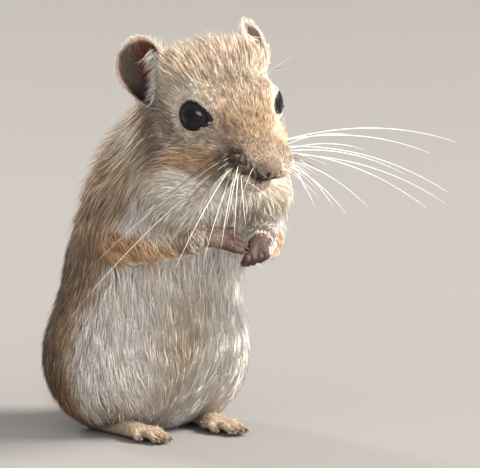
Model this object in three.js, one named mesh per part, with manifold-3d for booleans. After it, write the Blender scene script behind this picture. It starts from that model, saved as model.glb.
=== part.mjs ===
// A gerbil sitting up on its haunches, life size, in millimetres, +Z up.
// It faces -Y, and its right side is towards -X. The origin is on the floor, under the seat.
// The torso, neck and head share one outline, the outside of the coat, and are parted by thin cuts.
import * as THREE from 'three';
import { mergeVertices } from 'three/addons/utils/BufferGeometryUtils.js';
import Module from 'manifold-3d';

const wasm = await Module();
wasm.setup();

const V = (x, y, z) => new THREE.Vector3(x, y, z);
const rad = THREE.MathUtils.degToRad;
const { lerp, clamp, smoothstep } = THREE.MathUtils;
const SIDES = [
  { name: 'right', s: -1 },
  { name: 'left', s: 1 },
];

// Driving sizes
const GAP = 0.3; // between neighbouring pieces
const FINEST = 0.05; // no facet is kept that stands out by less than this
const HEAD_AT = V(0, -35.7, 75.6); // the point midway between the eyes
const HEAD_PITCH = rad(22); // nose down
const HEAD_ROLL = rad(-6); // left side up
const HEAD_YAW = rad(-4); // turned to its right
const EYE_RADIUS = 4;
const EYE_AT = V(8, 1.8, -1.2);
const EAR_HEIGHT = 15.5;
const EAR_WIDTH = 13;
const EAR_THICKNESS = 0.9;
const FOOT_LENGTH = 23; // heel to the root of the toes
const TAIL_LENGTH = 104;
const TAIL_RADIUS = 3;

// Materials
function coat(colour) {
  return new THREE.MeshStandardMaterial({ color: colour, roughness: 0.9, metalness: 0 });
}
const BACK_COAT = coat(0xb39a78);
const HEAD_COAT = coat(0xc2a47c);
const BUFF_COAT = coat(0xb98d61);
const EAR_SKIN = coat(0x9a7f72);
const PAW_SKIN = coat(0x6d5f5a);
const EYE_GLOSS = new THREE.MeshStandardMaterial({ color: 0x0b0a10, roughness: 0.08, metalness: 0 });

// Points and directions of the head's own frame: x to its left, y to the back, z up
const headTurn = new THREE.Quaternion().setFromEuler(
  new THREE.Euler(HEAD_PITCH, HEAD_ROLL, HEAD_YAW, 'ZXY'),
);
const onHead = (x, y, z) => V(x, y, z).applyQuaternion(headTurn).add(HEAD_AT);
const headDirection = (x, y, z) => V(x, y, z).applyQuaternion(headTurn).normalize();

// Fields: each returns the signed distance, near the surface, from a point to a shape

function ellipsoid(centre, radii, turn = new THREE.Quaternion()) {
  const inverse = turn.clone().invert();
  const local = V(0, 0, 0);
  return (p) => {
    local.copy(p).sub(centre).applyQuaternion(inverse);
    const scaled = Math.hypot(local.x / radii.x, local.y / radii.y, local.z / radii.z);
    const slope = Math.hypot(local.x / radii.x ** 2, local.y / radii.y ** 2, local.z / radii.z ** 2);
    return slope < 1e-9 ? -Math.min(radii.x, radii.y, radii.z) : (scaled * (scaled - 1)) / slope;
  };
}

function roundCone(from, to, fromRadius, toRadius) {
  const along = to.clone().sub(from);
  const offset = V(0, 0, 0);
  return (p) => {
    offset.copy(p).sub(from);
    const t = clamp(offset.dot(along) / along.lengthSq(), 0, 1);
    return offset.addScaledVector(along, -t).length() - lerp(fromRadius, toRadius, t);
  };
}

function blendTwo(a, b, width) {
  const h = Math.max(width - Math.abs(a - b), 0) / width;
  return Math.min(a, b) - (h * h * width) / 4;
}

function blend(width, ...fields) {
  return (p) => fields.reduce((sum, field) => blendTwo(sum, field(p), width), 1e3);
}

function hollowed(width, body, ...hollows) {
  return (p) => hollows.reduce((rest, hollow) => -blendTwo(-rest, hollow(p), width), body(p));
}

// Meshes and solids

function solid(geometry) {
  const bare = geometry.clone();
  for (const name of Object.keys(bare.attributes)) if (name !== 'position') bare.deleteAttribute(name);
  const merged = mergeVertices(bare, 1e-4);
  return new wasm.Manifold(
    new wasm.Mesh({
      numProp: 3,
      vertProperties: new Float32Array(merged.attributes.position.array),
      triVerts: new Uint32Array(merged.index.array),
    }),
  );
}

function reshape(geometry, place) {
  const position = geometry.attributes.position;
  const p = V(0, 0, 0);
  for (let i = 0; i < position.count; i++) {
    p.fromBufferAttribute(position, i);
    const moved = place(p);
    position.setXYZ(i, moved.x, moved.y, moved.z);
  }
  return geometry;
}

// The first point outside a field along a direction, set off from its surface
function surfacePoint(field, from, direction, offset = 0) {
  const at = (t) => field(from.clone().addScaledVector(direction, t)) - offset;
  let near = 0;
  let far = 0;
  for (let step = 0; step < 400 && at(far) < 0; step++) {
    near = far;
    far += Math.max(0.15, Math.abs(at(far)) * 0.6);
  }
  for (let i = 0; i < 24; i++) {
    const middle = (near + far) / 2;
    if (at(middle) < 0) near = middle;
    else far = middle;
  }
  return from.clone().addScaledVector(direction, far);
}

// A closed mesh of a field's surface, seen whole from its centre. Facets are finer towards the bias.
function sculpt(field, centre, detail, { offset = 0, bias = V(0, 0, 0) } = {}) {
  const sphere = new THREE.IcosahedronGeometry(1, detail);
  const outwards = (p) => p.clone().add(bias).normalize();
  return solid(reshape(sphere, (p) => surfacePoint(field, centre, outwards(p), offset)));
}

function ball(centre, radii, detail, turn = new THREE.Quaternion()) {
  const geometry = new THREE.IcosahedronGeometry(1, detail);
  const place = (p) => p.clone().normalize().multiply(radii).applyQuaternion(turn).add(centre);
  return solid(reshape(geometry, place));
}

// Everything on the far side of a plane through a point, along its normal
function beyond(point, normal) {
  const size = 300;
  const block = new THREE.BoxGeometry(size, size, size);
  const turn = new THREE.Quaternion().setFromUnitVectors(V(0, 0, 1), normal.clone().normalize());
  block.translate(0, 0, size / 2).applyQuaternion(turn).translate(point.x, point.y, point.z);
  return solid(block);
}

// A closed limb along a smooth curve, with round ends. section(t) gives its half width and half depth.
function limb(points, section, options = {}) {
  const { sides = 8, rings = 12, across = V(1, 0, 0), round = 0.12, grow = 0 } = options;
  const curve = new THREE.CatmullRomCurve3(points);
  const geometry = new THREE.SphereGeometry(1, sides, rings);
  const position = geometry.attributes.position;
  const p = V(0, 0, 0);
  for (let i = 0; i < position.count; i++) {
    p.fromBufferAttribute(position, i);
    const t = Math.acos(clamp(p.y, -1, 1)) / Math.PI;
    const ring = Math.hypot(p.x, p.z) || 1;
    const fromEnd = Math.min(t, 1 - t) / round;
    const cap = fromEnd >= 1 ? 1 : Math.sqrt(1 - (1 - fromEnd) ** 2);
    const [wide, deep] = section(t);
    const tangent = curve.getTangent(t);
    const side = across.clone().addScaledVector(tangent, -across.dot(tangent)).normalize();
    const normal = tangent.clone().cross(side);
    const at = curve.getPoint(t);
    const pole = t < 1e-6 || t > 1 - 1e-6;
    if (!pole) {
      at.addScaledVector(side, (p.x / ring) * (wide * cap + grow));
      at.addScaledVector(normal, (p.z / ring) * (deep * cap + grow));
    } else if (grow) {
      at.addScaledVector(tangent, t < 0.5 ? -grow : grow);
    }
    position.setXYZ(i, at.x, at.y, at.z);
  }
  const made = solid(geometry);
  return made.volume() < 0 ? solid(turnedInsideOut(geometry)) : made;
}

function turnedInsideOut(geometry) {
  const index = geometry.index.array;
  for (let i = 0; i < index.length; i += 3) [index[i + 1], index[i + 2]] = [index[i + 2], index[i + 1]];
  return geometry;
}

const joinAll = (pieces) => pieces.reduce((sum, piece) => sum.add(piece));
const cutAll = (body, cutters) => cutters.reduce((sum, cutter) => sum.subtract(cutter), body);

function largest(body) {
  return body.decompose().reduce((best, piece) => (piece.volume() > best.volume() ? piece : best));
}

// The trunk: pelvis, belly, chest and shoulders

const trunkField = blend(
  9,
  ellipsoid(V(0, 2, 17.5), V(20.5, 19.5, 19.5)),
  ellipsoid(V(0, -2, 27), V(20.2, 19.5, 22)),
  ellipsoid(V(0, 1, 38), V(17, 18, 18)),
  ellipsoid(V(0, -8, 45), V(17.5, 18.5, 19)),
);
const THIGH_AT = V(14.3, 1.6, 15);
const THIGH_RADII = V(8.5, 15.5, 13.5);
const thighField = (s) => ellipsoid(V(s * THIGH_AT.x, THIGH_AT.y, THIGH_AT.z), THIGH_RADII);
const SHOULDER_AT = V(14.5, -11, 50);
const SHOULDER_RADII = V(6.5, 9, 8.5);
const shoulderField = (s) => ellipsoid(V(s * SHOULDER_AT.x, SHOULDER_AT.y, SHOULDER_AT.z), SHOULDER_RADII);

// The neck and its ruff of fur
const neckField = blend(
  8,
  roundCone(V(0, -10, 54), onHead(0, 14, -2), 18.5, 11.1),
  ellipsoid(V(0, -22, 57), V(16, 13, 11)),
  ellipsoid(V(-10, -28, 55), V(8.5, 9.5, 8.5)),
  ellipsoid(V(10, -28, 55), V(8.5, 9.5, 8.5)),
);

// The head: skull, cheeks, the crown's corners before the ears, whisker pads, jaw, brows and nose
const onHeadBall = (x, y, z, rx, ry, rz) => ellipsoid(onHead(x, y, z), V(rx, ry, rz), headTurn);
const NOSE_AT = V(0, -18.2, -5.4);
const skullField = blend(
  5,
  onHeadBall(0, 10, -2.4, 12.6, 13.6, 8.2),
  roundCone(onHead(0, 0, -2.4), onHead(0, -14.4, -5.9), 8.6, 3.9),
  onHeadBall(-7.5, 3.5, -9.5, 6.8, 9.5, 8),
  onHeadBall(7.5, 3.5, -9.5, 6.8, 9.5, 8),
  onHeadBall(-6.8, 13, 3.3, 6.6, 6.6, 5.8),
  onHeadBall(6.8, 13, 3.3, 6.6, 6.6, 5.8),
);
// The eyes look out from shallow hollows
const eyeAxis = (s) => headDirection(s * 0.88, -0.4, 0.22);
const eyeCentre = (s) => onHead(s * EYE_AT.x, EYE_AT.y, EYE_AT.z);
const LID_DEPTH = 2.2; // from the eye's centre to the opening of the lids

function orbit(s) {
  const turn = new THREE.Quaternion().setFromUnitVectors(V(0, 0, 1), eyeAxis(s));
  return ellipsoid(eyeCentre(s).addScaledVector(eyeAxis(s), LID_DEPTH + 2.6), V(6.8, 6.2, 3), turn);
}

const faceField = hollowed(
  1.5,
  blend(
    2,
    skullField,
    onHeadBall(-4.1, -12.2, -7, 3.9, 5, 4.2),
    onHeadBall(4.1, -12.2, -7, 3.9, 5, 4.2),
    onHeadBall(0, -7.2, -12, 4.8, 7.8, 3.4),
    onHeadBall(-6.4, 2, 2.6, 3.4, 5, 2.4),
    onHeadBall(6.4, 2, 2.6, 3.4, 5, 2.4),
    onHeadBall(NOSE_AT.x, NOSE_AT.y, NOSE_AT.z, 2.5, 2, 2.2),
  ),
  orbit(-1),
  orbit(1),
);

const bodyField = blend(
  7,
  trunkField,
  blend(4, thighField(-1), thighField(1)),
  blend(4, shoulderField(-1), shoulderField(1)),
  neckField,
);
const wholeField = blend(4, bodyField, faceField);

// The cuts between head, neck and torso
const NAPE_POINT = onHead(0, 13, -7);
const NAPE_NORMAL = headDirection(0, -0.55, 0.83);
const COLLAR_POINT = V(0, -14, 55);
const COLLAR_NORMAL = V(0, -0.5, 0.87).normalize();
const pastPlane = (point, normal, offset) => point.clone().addScaledVector(normal, offset);

function sideOf(point, normal, sign) {
  return (p) => sign * normal.dot(p.clone().sub(point));
}
const both = (a, b) => (p) => Math.max(a(p), b(p));
const CUT_SPARE = 2.5; // how far a piece is drawn past its cut

// Eyes and lids
function eyeball(s, grow = 0) {
  const r = EYE_RADIUS + grow;
  return ball(eyeCentre(s), V(r, r, r), 3);
}

// A rim around the opening of the lids, laid on the eyeball, with its sharp corner towards the nose
const LID_RADIUS = 0.62;
const LID_REACH = EYE_RADIUS + GAP + 0.3;
const OPENING_WIDE = rad(66);
const OPENING_HIGH = rad(51);
function lids(s) {
  const axis = eyeAxis(s);
  const forward = headDirection(0, -0.93, 0.3);
  const front = forward.addScaledVector(axis, -forward.dot(axis)).normalize();
  const up = axis.clone().cross(front).multiplyScalar(-s);
  const thickness = 0.16;
  const ring = new THREE.TorusGeometry(1, thickness, 5, 18);
  const made = reshape(ring, (p) => {
    const angle = Math.atan2(p.y, p.x);
    const corner = rad(13) * Math.exp(-((angle / 0.4) ** 2));
    const reach = Math.hypot(Math.cos(angle) * OPENING_WIDE, Math.sin(angle) * OPENING_HIGH) + corner;
    const aside = front.clone().multiplyScalar(Math.cos(angle)).addScaledVector(up, Math.sin(angle));
    const outward = axis.clone().multiplyScalar(Math.cos(reach)).addScaledVector(aside, Math.sin(reach));
    const away = aside.clone().multiplyScalar(Math.cos(reach)).addScaledVector(axis, -Math.sin(reach));
    return eyeCentre(s)
      .addScaledVector(outward, LID_REACH + (p.z / thickness) * LID_RADIUS)
      .addScaledVector(away, ((Math.hypot(p.x, p.y) - 1) / thickness) * LID_RADIUS);
  });
  const lid = solid(made);
  return lid.volume() < 0 ? solid(turnedInsideOut(made)) : lid;
}

// Nostrils, the mouth and the lips
function nostril(s) {
  const slant = new THREE.Quaternion().setFromEuler(new THREE.Euler(0.5, 0.3 * s, 0.5 * s));
  const at = onHead(s * 1.35, NOSE_AT.y - 1.3, NOSE_AT.z - 0.6);
  return ball(at, V(0.5, 0.95, 0.66), 2, headTurn.clone().multiply(slant));
}

const MOUTH_HALF_WIDTH = 3.8;
const MOUTH_LEVEL = -10.6;
function mouthPoints(lift) {
  const points = [];
  for (let i = -3; i <= 3; i++) {
    const u = i / 3;
    const inside = onHead(u * MOUTH_HALF_WIDTH, -6 + 3 * u * u, MOUTH_LEVEL - 0.7 * u * u + lift);
    points.push(surfacePoint(faceField, inside, headDirection(u * 0.75, -1, 0)));
  }
  return points;
}

function mouthLine() {
  const across = headDirection(0, 0, 1);
  return limb(mouthPoints(0), () => [0.38, 0.38], { sides: 5, rings: 14, across });
}

function lowerLip() {
  const across = headDirection(0, 0, 1);
  return limb(mouthPoints(-0.9), () => [0.48, 0.48], { sides: 5, rings: 12, across });
}

function philtrum() {
  const points = [NOSE_AT.z - 1.6, -8.8, MOUTH_LEVEL].map((z) =>
    surfacePoint(faceField, onHead(0, -8, z), headDirection(0, -1, 0)),
  );
  return limb(points, () => [0.32, 0.32], { sides: 5, rings: 8 });
}

// Whisker pads, with the main whiskers rooted in rows
const PAD_AT = V(6, -11.8, -6.9);
const PAD_RADII = V(4.2, 4, 3.5);
function padRegion(s, grow) {
  const radii = V(PAD_RADII.x + grow, PAD_RADII.y + grow, PAD_RADII.z + grow);
  return ball(onHead(s * PAD_AT.x, PAD_AT.y, PAD_AT.z), radii, 2, headTurn);
}

const WHISKER_ROWS = 4;
const WHISKERS_IN_ROW = 3;
const LONGEST_WHISKER = 46;
const WHISKER_RADIUS = 0.3; // at the root
const WHISKER_DROOP = V(0, 0.35, -0.94); // the way they bend
// How far the rows hang below level, top row to bottom row, in degrees: the right side is swept down
const WHISKER_HANG = { right: [22, 62], left: [-6, 42] };
function whiskers(name, s, grow = 0) {
  const made = [];
  for (let row = 0; row < WHISKER_ROWS; row++) {
    for (let i = 0; i < WHISKERS_IN_ROW; i++) {
      const back = i / (WHISKERS_IN_ROW - 1);
      const down = row / (WHISKER_ROWS - 1);
      const inside = onHead(s * 3, lerp(-13.8, -10, back), lerp(-4.6, -9.2, down));
      const root = surfacePoint(wholeField, inside, headDirection(s, -0.1, 0), -1.2);
      const length = LONGEST_WHISKER * lerp(0.5, 1, back) * lerp(1, 0.72, down);
      const hang = rad(lerp(WHISKER_HANG[name][0], WHISKER_HANG[name][1], down));
      const out = V(s * Math.cos(hang), lerp(-0.35, 0.15, back), -Math.sin(hang)).normalize();
      const points = [0, 0.35, 0.7, 1].map((u) =>
        root
          .clone()
          .addScaledVector(out, length * u)
          .addScaledVector(WHISKER_DROOP, length * 0.2 * u * u),
      );
      const section = (t) => [lerp(WHISKER_RADIUS, 0.07, t), lerp(WHISKER_RADIUS, 0.07, t)];
      made.push(limb(points, section, { sides: 3, rings: 5, across: V(0, 0, 1), round: 0.01, grow }));
    }
  }
  return made;
}

// Ears: a cupped leaf, rolled towards its root
function ear(s) {
  const up = headDirection(s * 0.19, 0.43, 0.88);
  const opening = headDirection(s * 0.72, -0.69, 0.1);
  opening.addScaledVector(up, -opening.dot(up)).normalize();
  const outward = up.clone().cross(opening).multiplyScalar(-s);
  const root = onHead(s * 11.4, 16.1, -6.3);
  const grid = new THREE.BoxGeometry(2, 2, 1, 9, 9, 1);
  const made = reshape(grid, (p) => {
    const a = p.x * Math.sqrt(1 - (p.y * p.y) / 2);
    const b = p.y * Math.sqrt(1 - (p.x * p.x) / 2);
    const rim = Math.max(Math.abs(p.x), Math.abs(p.y));
    const high = (b + 1) / 2;
    const narrow = lerp(0.62, 1, smoothstep(high, 0, 0.6));
    const curl = lerp(1.75, 0.8, smoothstep(high, 0, 0.75));
    const bend = a * curl;
    const radius = (EAR_WIDTH * narrow) / 2 / curl;
    const thick = EAR_THICKNESS * lerp(1, 0.7, rim ** 4) * p.z;
    const across = (radius + thick) * Math.sin(bend);
    const depth = (radius + thick) * (1 - Math.cos(bend)) - thick;
    const lean = -1.6 * high * high;
    return root
      .clone()
      .addScaledVector(outward, across)
      .addScaledVector(opening, depth + lean)
      .addScaledVector(up, high * EAR_HEIGHT);
  });
  const leaf = solid(made);
  return leaf.volume() < 0 ? solid(turnedInsideOut(made)) : leaf;
}

// Arms: the elbow is tucked in at the chest, and the hands meet in front of it
const ARM = {
  right: {
    elbow: V(-17.8, -14, 44.8),
    wrist: V(-10.4, -35.2, 47.2),
    palm: V(-7.4, -37.6, 48),
    knuckles: V(-4.4, -39.2, 47.4),
    tips: V(-0.9, -39.8, 46.1),
    spread: V(0.25, 0.55, 0.8),
  },
  left: {
    elbow: V(18.5, -18, 43.5),
    wrist: V(7.4, -35.6, 46.2),
    palm: V(4.4, -37.8, 45.6),
    knuckles: V(3, -39.4, 43.8),
    tips: V(2, -38.4, 41.6),
    spread: V(0.95, -0.15, 0.1),
  },
};
const ELBOW_RADIUS = 5.5;
const WRIST_RADIUS = 2.9;

function armRegion(s, arm, grow) {
  const top = V(s * SHOULDER_AT.x, SHOULDER_AT.y + 1, SHOULDER_AT.z + 1);
  const middle = top.clone().lerp(arm.elbow, 0.5);
  return limb(
    [top.clone().lerp(arm.elbow, -0.5), middle, arm.elbow.clone().lerp(top, -0.25)],
    () => [7.5, 7.5],
    { sides: 10, rings: 7, across: V(0, 1, 0), round: 0.35, grow },
  );
}

function forearm(arm, grow = 0) {
  const middle = arm.elbow.clone().lerp(arm.wrist, 0.5).add(V(0, 0, -0.8));
  const end = arm.wrist.clone().lerp(arm.palm, 0.8);
  const section = (t) => {
    const radius = lerp(ELBOW_RADIUS, WRIST_RADIUS, t);
    return [radius, radius * 0.95];
  };
  const options = { sides: 10, rings: 9, across: V(0, 0, 1), round: 0.22, grow };
  return limb([arm.elbow, middle, end], section, options);
}

function claw(root, direction, curve, length, radius) {
  const points = [0, 0.5, 1].map((u) =>
    root
      .clone()
      .addScaledVector(direction, length * u)
      .addScaledVector(curve, length * 0.28 * u * u),
  );
  const section = (t) => [lerp(radius, 0.12, t), lerp(radius * 1.25, 0.12, t)];
  return limb(points, section, { sides: 4, rings: 4, round: 0.05 });
}

function palm(arm, grow = 0) {
  const back = arm.wrist.clone().lerp(arm.palm, -0.8);
  const section = (t) => [lerp(2.3, 3, t), lerp(2.2, 1.7, t)];
  const across = arm.spread.clone().normalize();
  const options = { sides: 8, rings: 7, across, round: 0.3, grow };
  return limb([back, arm.wrist, arm.palm, arm.knuckles], section, options);
}

const FINGER_PITCH = 1.55;
const INWARD = V(0, 1, 0);
function forepaw(arm) {
  const spread = arm.spread.clone().normalize();
  const ahead = arm.knuckles.clone().sub(arm.palm).normalize();
  const pieces = [palm(arm)];
  for (let finger = 0; finger < 4; finger++) {
    const across = (finger - 1.5) * FINGER_PITCH;
    const root = arm.knuckles.clone().lerp(arm.palm, 0.25).addScaledVector(spread, across * 0.85);
    const bend = arm.knuckles.clone().addScaledVector(ahead, 1.3).addScaledVector(spread, across);
    const tip = arm.tips.clone().addScaledVector(spread, across * 0.8);
    if (finger === 0 || finger === 3) tip.lerp(bend, 0.25);
    const section = (t) => [lerp(0.95, 0.72, t), lerp(0.95, 0.72, t)];
    pieces.push(limb([root, bend, tip], section, { sides: 5, rings: 6, across: spread }));
    const onward = tip.clone().sub(bend).normalize();
    pieces.push(claw(tip.clone().addScaledVector(onward, -0.6), onward, INWARD, 2.5, 0.42));
  }
  return joinAll(pieces);
}

// Hind feet: flat on the floor, the toes just clear of the belly
const HEEL_AT = V(11.5, 6, 0);
const TOE_ROOT_AT = V(10, -15.5, 0);
const FOOT_HALF_WIDTH = 3.3;
const TOE_PITCH = 1.45;
const TOE_LENGTHS = [4.6, 6.8, 7.4, 6.8, 4.2];

function footSole(s, grow = 0) {
  const heel = V(s * HEEL_AT.x, TOE_ROOT_AT.y + FOOT_LENGTH, 2.2);
  const ball = V(s * TOE_ROOT_AT.x, TOE_ROOT_AT.y, 1.5);
  const middle = heel.clone().lerp(ball, 0.5);
  const section = (t) => [lerp(2.6, FOOT_HALF_WIDTH, t), lerp(2.7, 2, t)];
  return limb([heel, middle, ball], section, { sides: 8, rings: 9, across: V(1, 0, 0), round: 0.16, grow });
}

function hindFoot(s) {
  const pieces = [footSole(s)];
  TOE_LENGTHS.forEach((length, toe) => {
    const across = (toe - 2) * TOE_PITCH;
    const setBack = Math.abs(toe - 2) === 2 ? 2.2 : 0;
    const root = V(s * TOE_ROOT_AT.x + across * 0.9, TOE_ROOT_AT.y + 1.5 + setBack, 1.4);
    const knuckle = root.clone().add(V(across * 0.12, -length * 0.55, 0.5));
    const tip = root.clone().add(V(across * 0.28, -length, -0.25));
    const section = (t) => [lerp(1.15, 0.8, t), lerp(1.1, 0.78, t)];
    pieces.push(limb([root, knuckle, tip], section, { sides: 5, rings: 5 }));
    const onward = V(across * 0.03, -1, 0.12).normalize();
    pieces.push(claw(tip.clone().add(V(0, 0.6, 0.15)), onward, V(0, 0, -1), 3, 0.5));
  });
  return joinAll(pieces);
}

// The tail lies on the floor behind, swung a little to the left, and ends in a brush
const TAIL_SIDES = 8;
const TAIL_RINGS = 26;
const TAIL_SWING = 52;
const tailPoints = [0, 0.15, 0.35, 0.6, 0.8, 1].map((u) => {
  const along = u * TAIL_LENGTH;
  const turned = rad(TAIL_SWING) * u * 0.55;
  const height = lerp(7.5, TAIL_RADIUS * 0.82, smoothstep(u, 0, 0.16));
  return V(along * Math.sin(turned + 0.16), 14 + along * Math.cos(turned + 0.16) * 0.97, height);
});
const tailCurve = new THREE.CatmullRomCurve3(tailPoints);
const TAIL_CUTS = [0.36, 0.68];

function tailSection(t) {
  const radius = TAIL_RADIUS * lerp(1.15, 0.72, smoothstep(t, 0, 0.6));
  return [radius, radius];
}

const BRUSH_LOCKS = 15;
function brushLocks() {
  const made = [];
  for (let i = 0; i < BRUSH_LOCKS; i++) {
    const u = (i + 0.5) / BRUSH_LOCKS;
    const t = lerp(TAIL_CUTS[1] + 0.03, 0.965, u);
    const around = i * 2.4;
    const at = tailCurve.getPoint(t);
    const ahead = tailCurve.getTangent(t);
    const side = V(0, 0, 1).cross(ahead).normalize();
    const rise = Math.abs(Math.sin(around)) * 0.9 - 0.1;
    const out = side.clone().multiplyScalar(Math.cos(around)).add(V(0, 0, rise)).normalize();
    const wide = ahead.clone().cross(out);
    const length = 11 + 2 * Math.sin(i * 1.7);
    const lift = lerp(1.9, 2.9, u) + 0.4 * Math.sin(i * 2.9);
    const points = [0, 0.4, 1].map((v) =>
      at.clone().addScaledVector(ahead, length * v).addScaledVector(out, 0.9 + lift * Math.sqrt(v)),
    );
    const section = (v) => [lerp(1.5, 0.35, v), lerp(0.7, 0.22, v)];
    made.push(limb(points, section, { sides: 4, rings: 4, across: wide, round: 0.15 }));
  }
  return made;
}

// Put the nodes together

const floor = beyond(V(0, 0, 0), V(0, 0, -1));
const gerbil = new THREE.Group();

function addNode(name, body, material) {
  const mesh = largest(body.simplify(FINEST)).getMesh();
  const geometry = new THREE.BufferGeometry();
  geometry.setAttribute('position', new THREE.BufferAttribute(new Float32Array(mesh.vertProperties), 3));
  geometry.setIndex(new THREE.BufferAttribute(new Uint32Array(mesh.triVerts), 1));
  geometry.computeVertexNormals();
  const node = new THREE.Mesh(geometry, material);
  node.name = name;
  gerbil.add(node);
}

const FACE_BIAS = headDirection(0, -0.93, -0.36).multiplyScalar(0.5);
const headCore = both(wholeField, sideOf(pastPlane(NAPE_POINT, NAPE_NORMAL, -CUT_SPARE), NAPE_NORMAL, -1));
const HEAD_CENTRE = onHead(0, 1, -3);
const headShape = sculpt(headCore, HEAD_CENTRE, 9, { bias: FACE_BIAS }).intersect(
  beyond(pastPlane(NAPE_POINT, NAPE_NORMAL, GAP / 2), NAPE_NORMAL),
);
const neckCore = both(
  both(wholeField, sideOf(pastPlane(NAPE_POINT, NAPE_NORMAL, CUT_SPARE), NAPE_NORMAL, 1)),
  sideOf(pastPlane(COLLAR_POINT, COLLAR_NORMAL, -CUT_SPARE), COLLAR_NORMAL, -1),
);
const neckShape = sculpt(neckCore, NAPE_POINT.clone().lerp(COLLAR_POINT, 0.5), 5)
  .intersect(beyond(pastPlane(COLLAR_POINT, COLLAR_NORMAL, GAP / 2), COLLAR_NORMAL))
  .subtract(beyond(pastPlane(NAPE_POINT, NAPE_NORMAL, -GAP / 2), NAPE_NORMAL));
const trunkCore = both(
  bodyField,
  sideOf(pastPlane(COLLAR_POINT, COLLAR_NORMAL, CUT_SPARE), COLLAR_NORMAL, 1),
);
const TRUNK_CENTRE = V(0, -4, 28);
const trunkShape = cutAll(sculpt(trunkCore, TRUNK_CENTRE, 8), [
  beyond(pastPlane(COLLAR_POINT, COLLAR_NORMAL, -GAP / 2), COLLAR_NORMAL),
  floor,
  footSole(-1, GAP),
  footSole(1, GAP),
]);

const thighRegion = (s, grow) =>
  ball(
    V(s * (THIGH_AT.x + 1), THIGH_AT.y - 1, THIGH_AT.z - 1),
    V(THIGH_RADII.x + 0.5 + grow, THIGH_RADII.y + grow, THIGH_RADII.z + 1 + grow),
    3,
  );

const torsoCutters = [];
for (const { name, s } of SIDES) {
  const arm = ARM[name];
  torsoCutters.push(thighRegion(s, GAP), armRegion(s, arm, GAP), forearm(arm, GAP));
}
addNode('torso', cutAll(trunkShape, torsoCutters), BACK_COAT);

const armCutters = SIDES.flatMap(({ name, s }) => [armRegion(s, ARM[name], GAP), forearm(ARM[name], GAP)]);
const palmCutters = SIDES.map(({ name }) => palm(ARM[name], GAP + 0.1));
addNode('neck', cutAll(neckShape, [...armCutters, ...palmCutters]), BACK_COAT);

const headPieces = [headShape, ...SIDES.map(({ s }) => lids(s)), lowerLip()];
const headCutters = [
  ...SIDES.flatMap(({ s }) => [eyeball(s, GAP), nostril(s), padRegion(s, GAP)]),
  mouthLine(),
  philtrum(),
  ...palmCutters,
  ...SIDES.flatMap(({ name, s }) => whiskers(name, s, GAP)),
];
addNode('head', cutAll(joinAll(headPieces), headCutters), HEAD_COAT);

const headSkin = sculpt(wholeField, HEAD_CENTRE, 7, { offset: 1.4 * GAP });
for (const { name, s } of SIDES) {
  const arm = ARM[name];
  addNode(`eye_${name}`, eyeball(s), EYE_GLOSS);
  const pad = headShape.intersect(padRegion(s, 0)).subtract(mouthLine());
  addNode(`whisker_pad_${name}`, joinAll([pad, ...whiskers(name, s)]), HEAD_COAT);
  addNode(`ear_${name}`, ear(s).subtract(headSkin), EAR_SKIN);
  const upperArm = trunkShape.add(neckShape).intersect(armRegion(s, arm, 0));
  addNode(`upper_arm_${name}`, upperArm.subtract(forearm(arm, GAP)), BUFF_COAT);
  const pastWrist = arm.palm.clone().sub(arm.wrist).normalize();
  addNode(`forearm_${name}`, forearm(arm).subtract(beyond(arm.wrist, pastWrist)), BUFF_COAT);
  const paw = forepaw(arm).intersect(beyond(pastPlane(arm.wrist, pastWrist, GAP), pastWrist));
  addNode(`forepaw_${name}`, paw, PAW_SKIN);
  addNode(`thigh_${name}`, trunkShape.intersect(thighRegion(s, 0)), BACK_COAT);
  addNode(`hind_foot_${name}`, hindFoot(s).subtract(floor), PAW_SKIN);
}

const tail = limb(tailPoints, tailSection, {
  sides: TAIL_SIDES,
  rings: TAIL_RINGS,
  across: V(0, 0, 1),
  round: 0.06,
});
const tailPlane = (t) => [tailCurve.getPoint(t), tailCurve.getTangent(t)];
const [firstPoint, firstNormal] = tailPlane(TAIL_CUTS[0]);
const [secondPoint, secondNormal] = tailPlane(TAIL_CUTS[1]);
const trunkSkin = sculpt(bodyField, TRUNK_CENTRE, 6, { offset: 1.7 * GAP });
addNode('tail_root', cutAll(tail, [beyond(firstPoint, firstNormal), trunkSkin, floor]), BACK_COAT);
addNode(
  'tail_middle',
  tail
    .intersect(beyond(pastPlane(firstPoint, firstNormal, GAP), firstNormal))
    .subtract(beyond(secondPoint, secondNormal))
    .subtract(floor),
  BACK_COAT,
);
const brush = joinAll([tail, ...brushLocks()])
  .intersect(beyond(pastPlane(secondPoint, secondNormal, GAP), secondNormal))
  .subtract(floor);
addNode('tail_brush', brush, BACK_COAT);

export default gerbil;
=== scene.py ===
# A gerbil that sits up on its haunches, life size. Lengths are in millimetres until a mesh is made.
# Its front is towards -Y and its right side towards -X.
import math

import bmesh
import bpy
import numpy as np
from mathutils import Matrix, Vector, kdtree


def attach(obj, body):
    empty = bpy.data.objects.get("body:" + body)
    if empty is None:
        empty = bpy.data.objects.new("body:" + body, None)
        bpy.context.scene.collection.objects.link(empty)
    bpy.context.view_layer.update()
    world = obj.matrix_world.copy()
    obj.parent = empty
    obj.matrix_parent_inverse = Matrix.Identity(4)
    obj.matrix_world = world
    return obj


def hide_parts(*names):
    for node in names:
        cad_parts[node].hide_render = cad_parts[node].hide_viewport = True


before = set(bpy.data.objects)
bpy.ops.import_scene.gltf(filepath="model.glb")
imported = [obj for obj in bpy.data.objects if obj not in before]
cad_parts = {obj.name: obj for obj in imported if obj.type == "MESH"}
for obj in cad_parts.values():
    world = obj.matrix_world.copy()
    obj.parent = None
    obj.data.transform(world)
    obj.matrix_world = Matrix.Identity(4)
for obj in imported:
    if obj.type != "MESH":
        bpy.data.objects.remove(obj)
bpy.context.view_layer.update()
chance = np.random.default_rng(20)
SIDES = {"right": -1, "left": 1}
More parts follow.
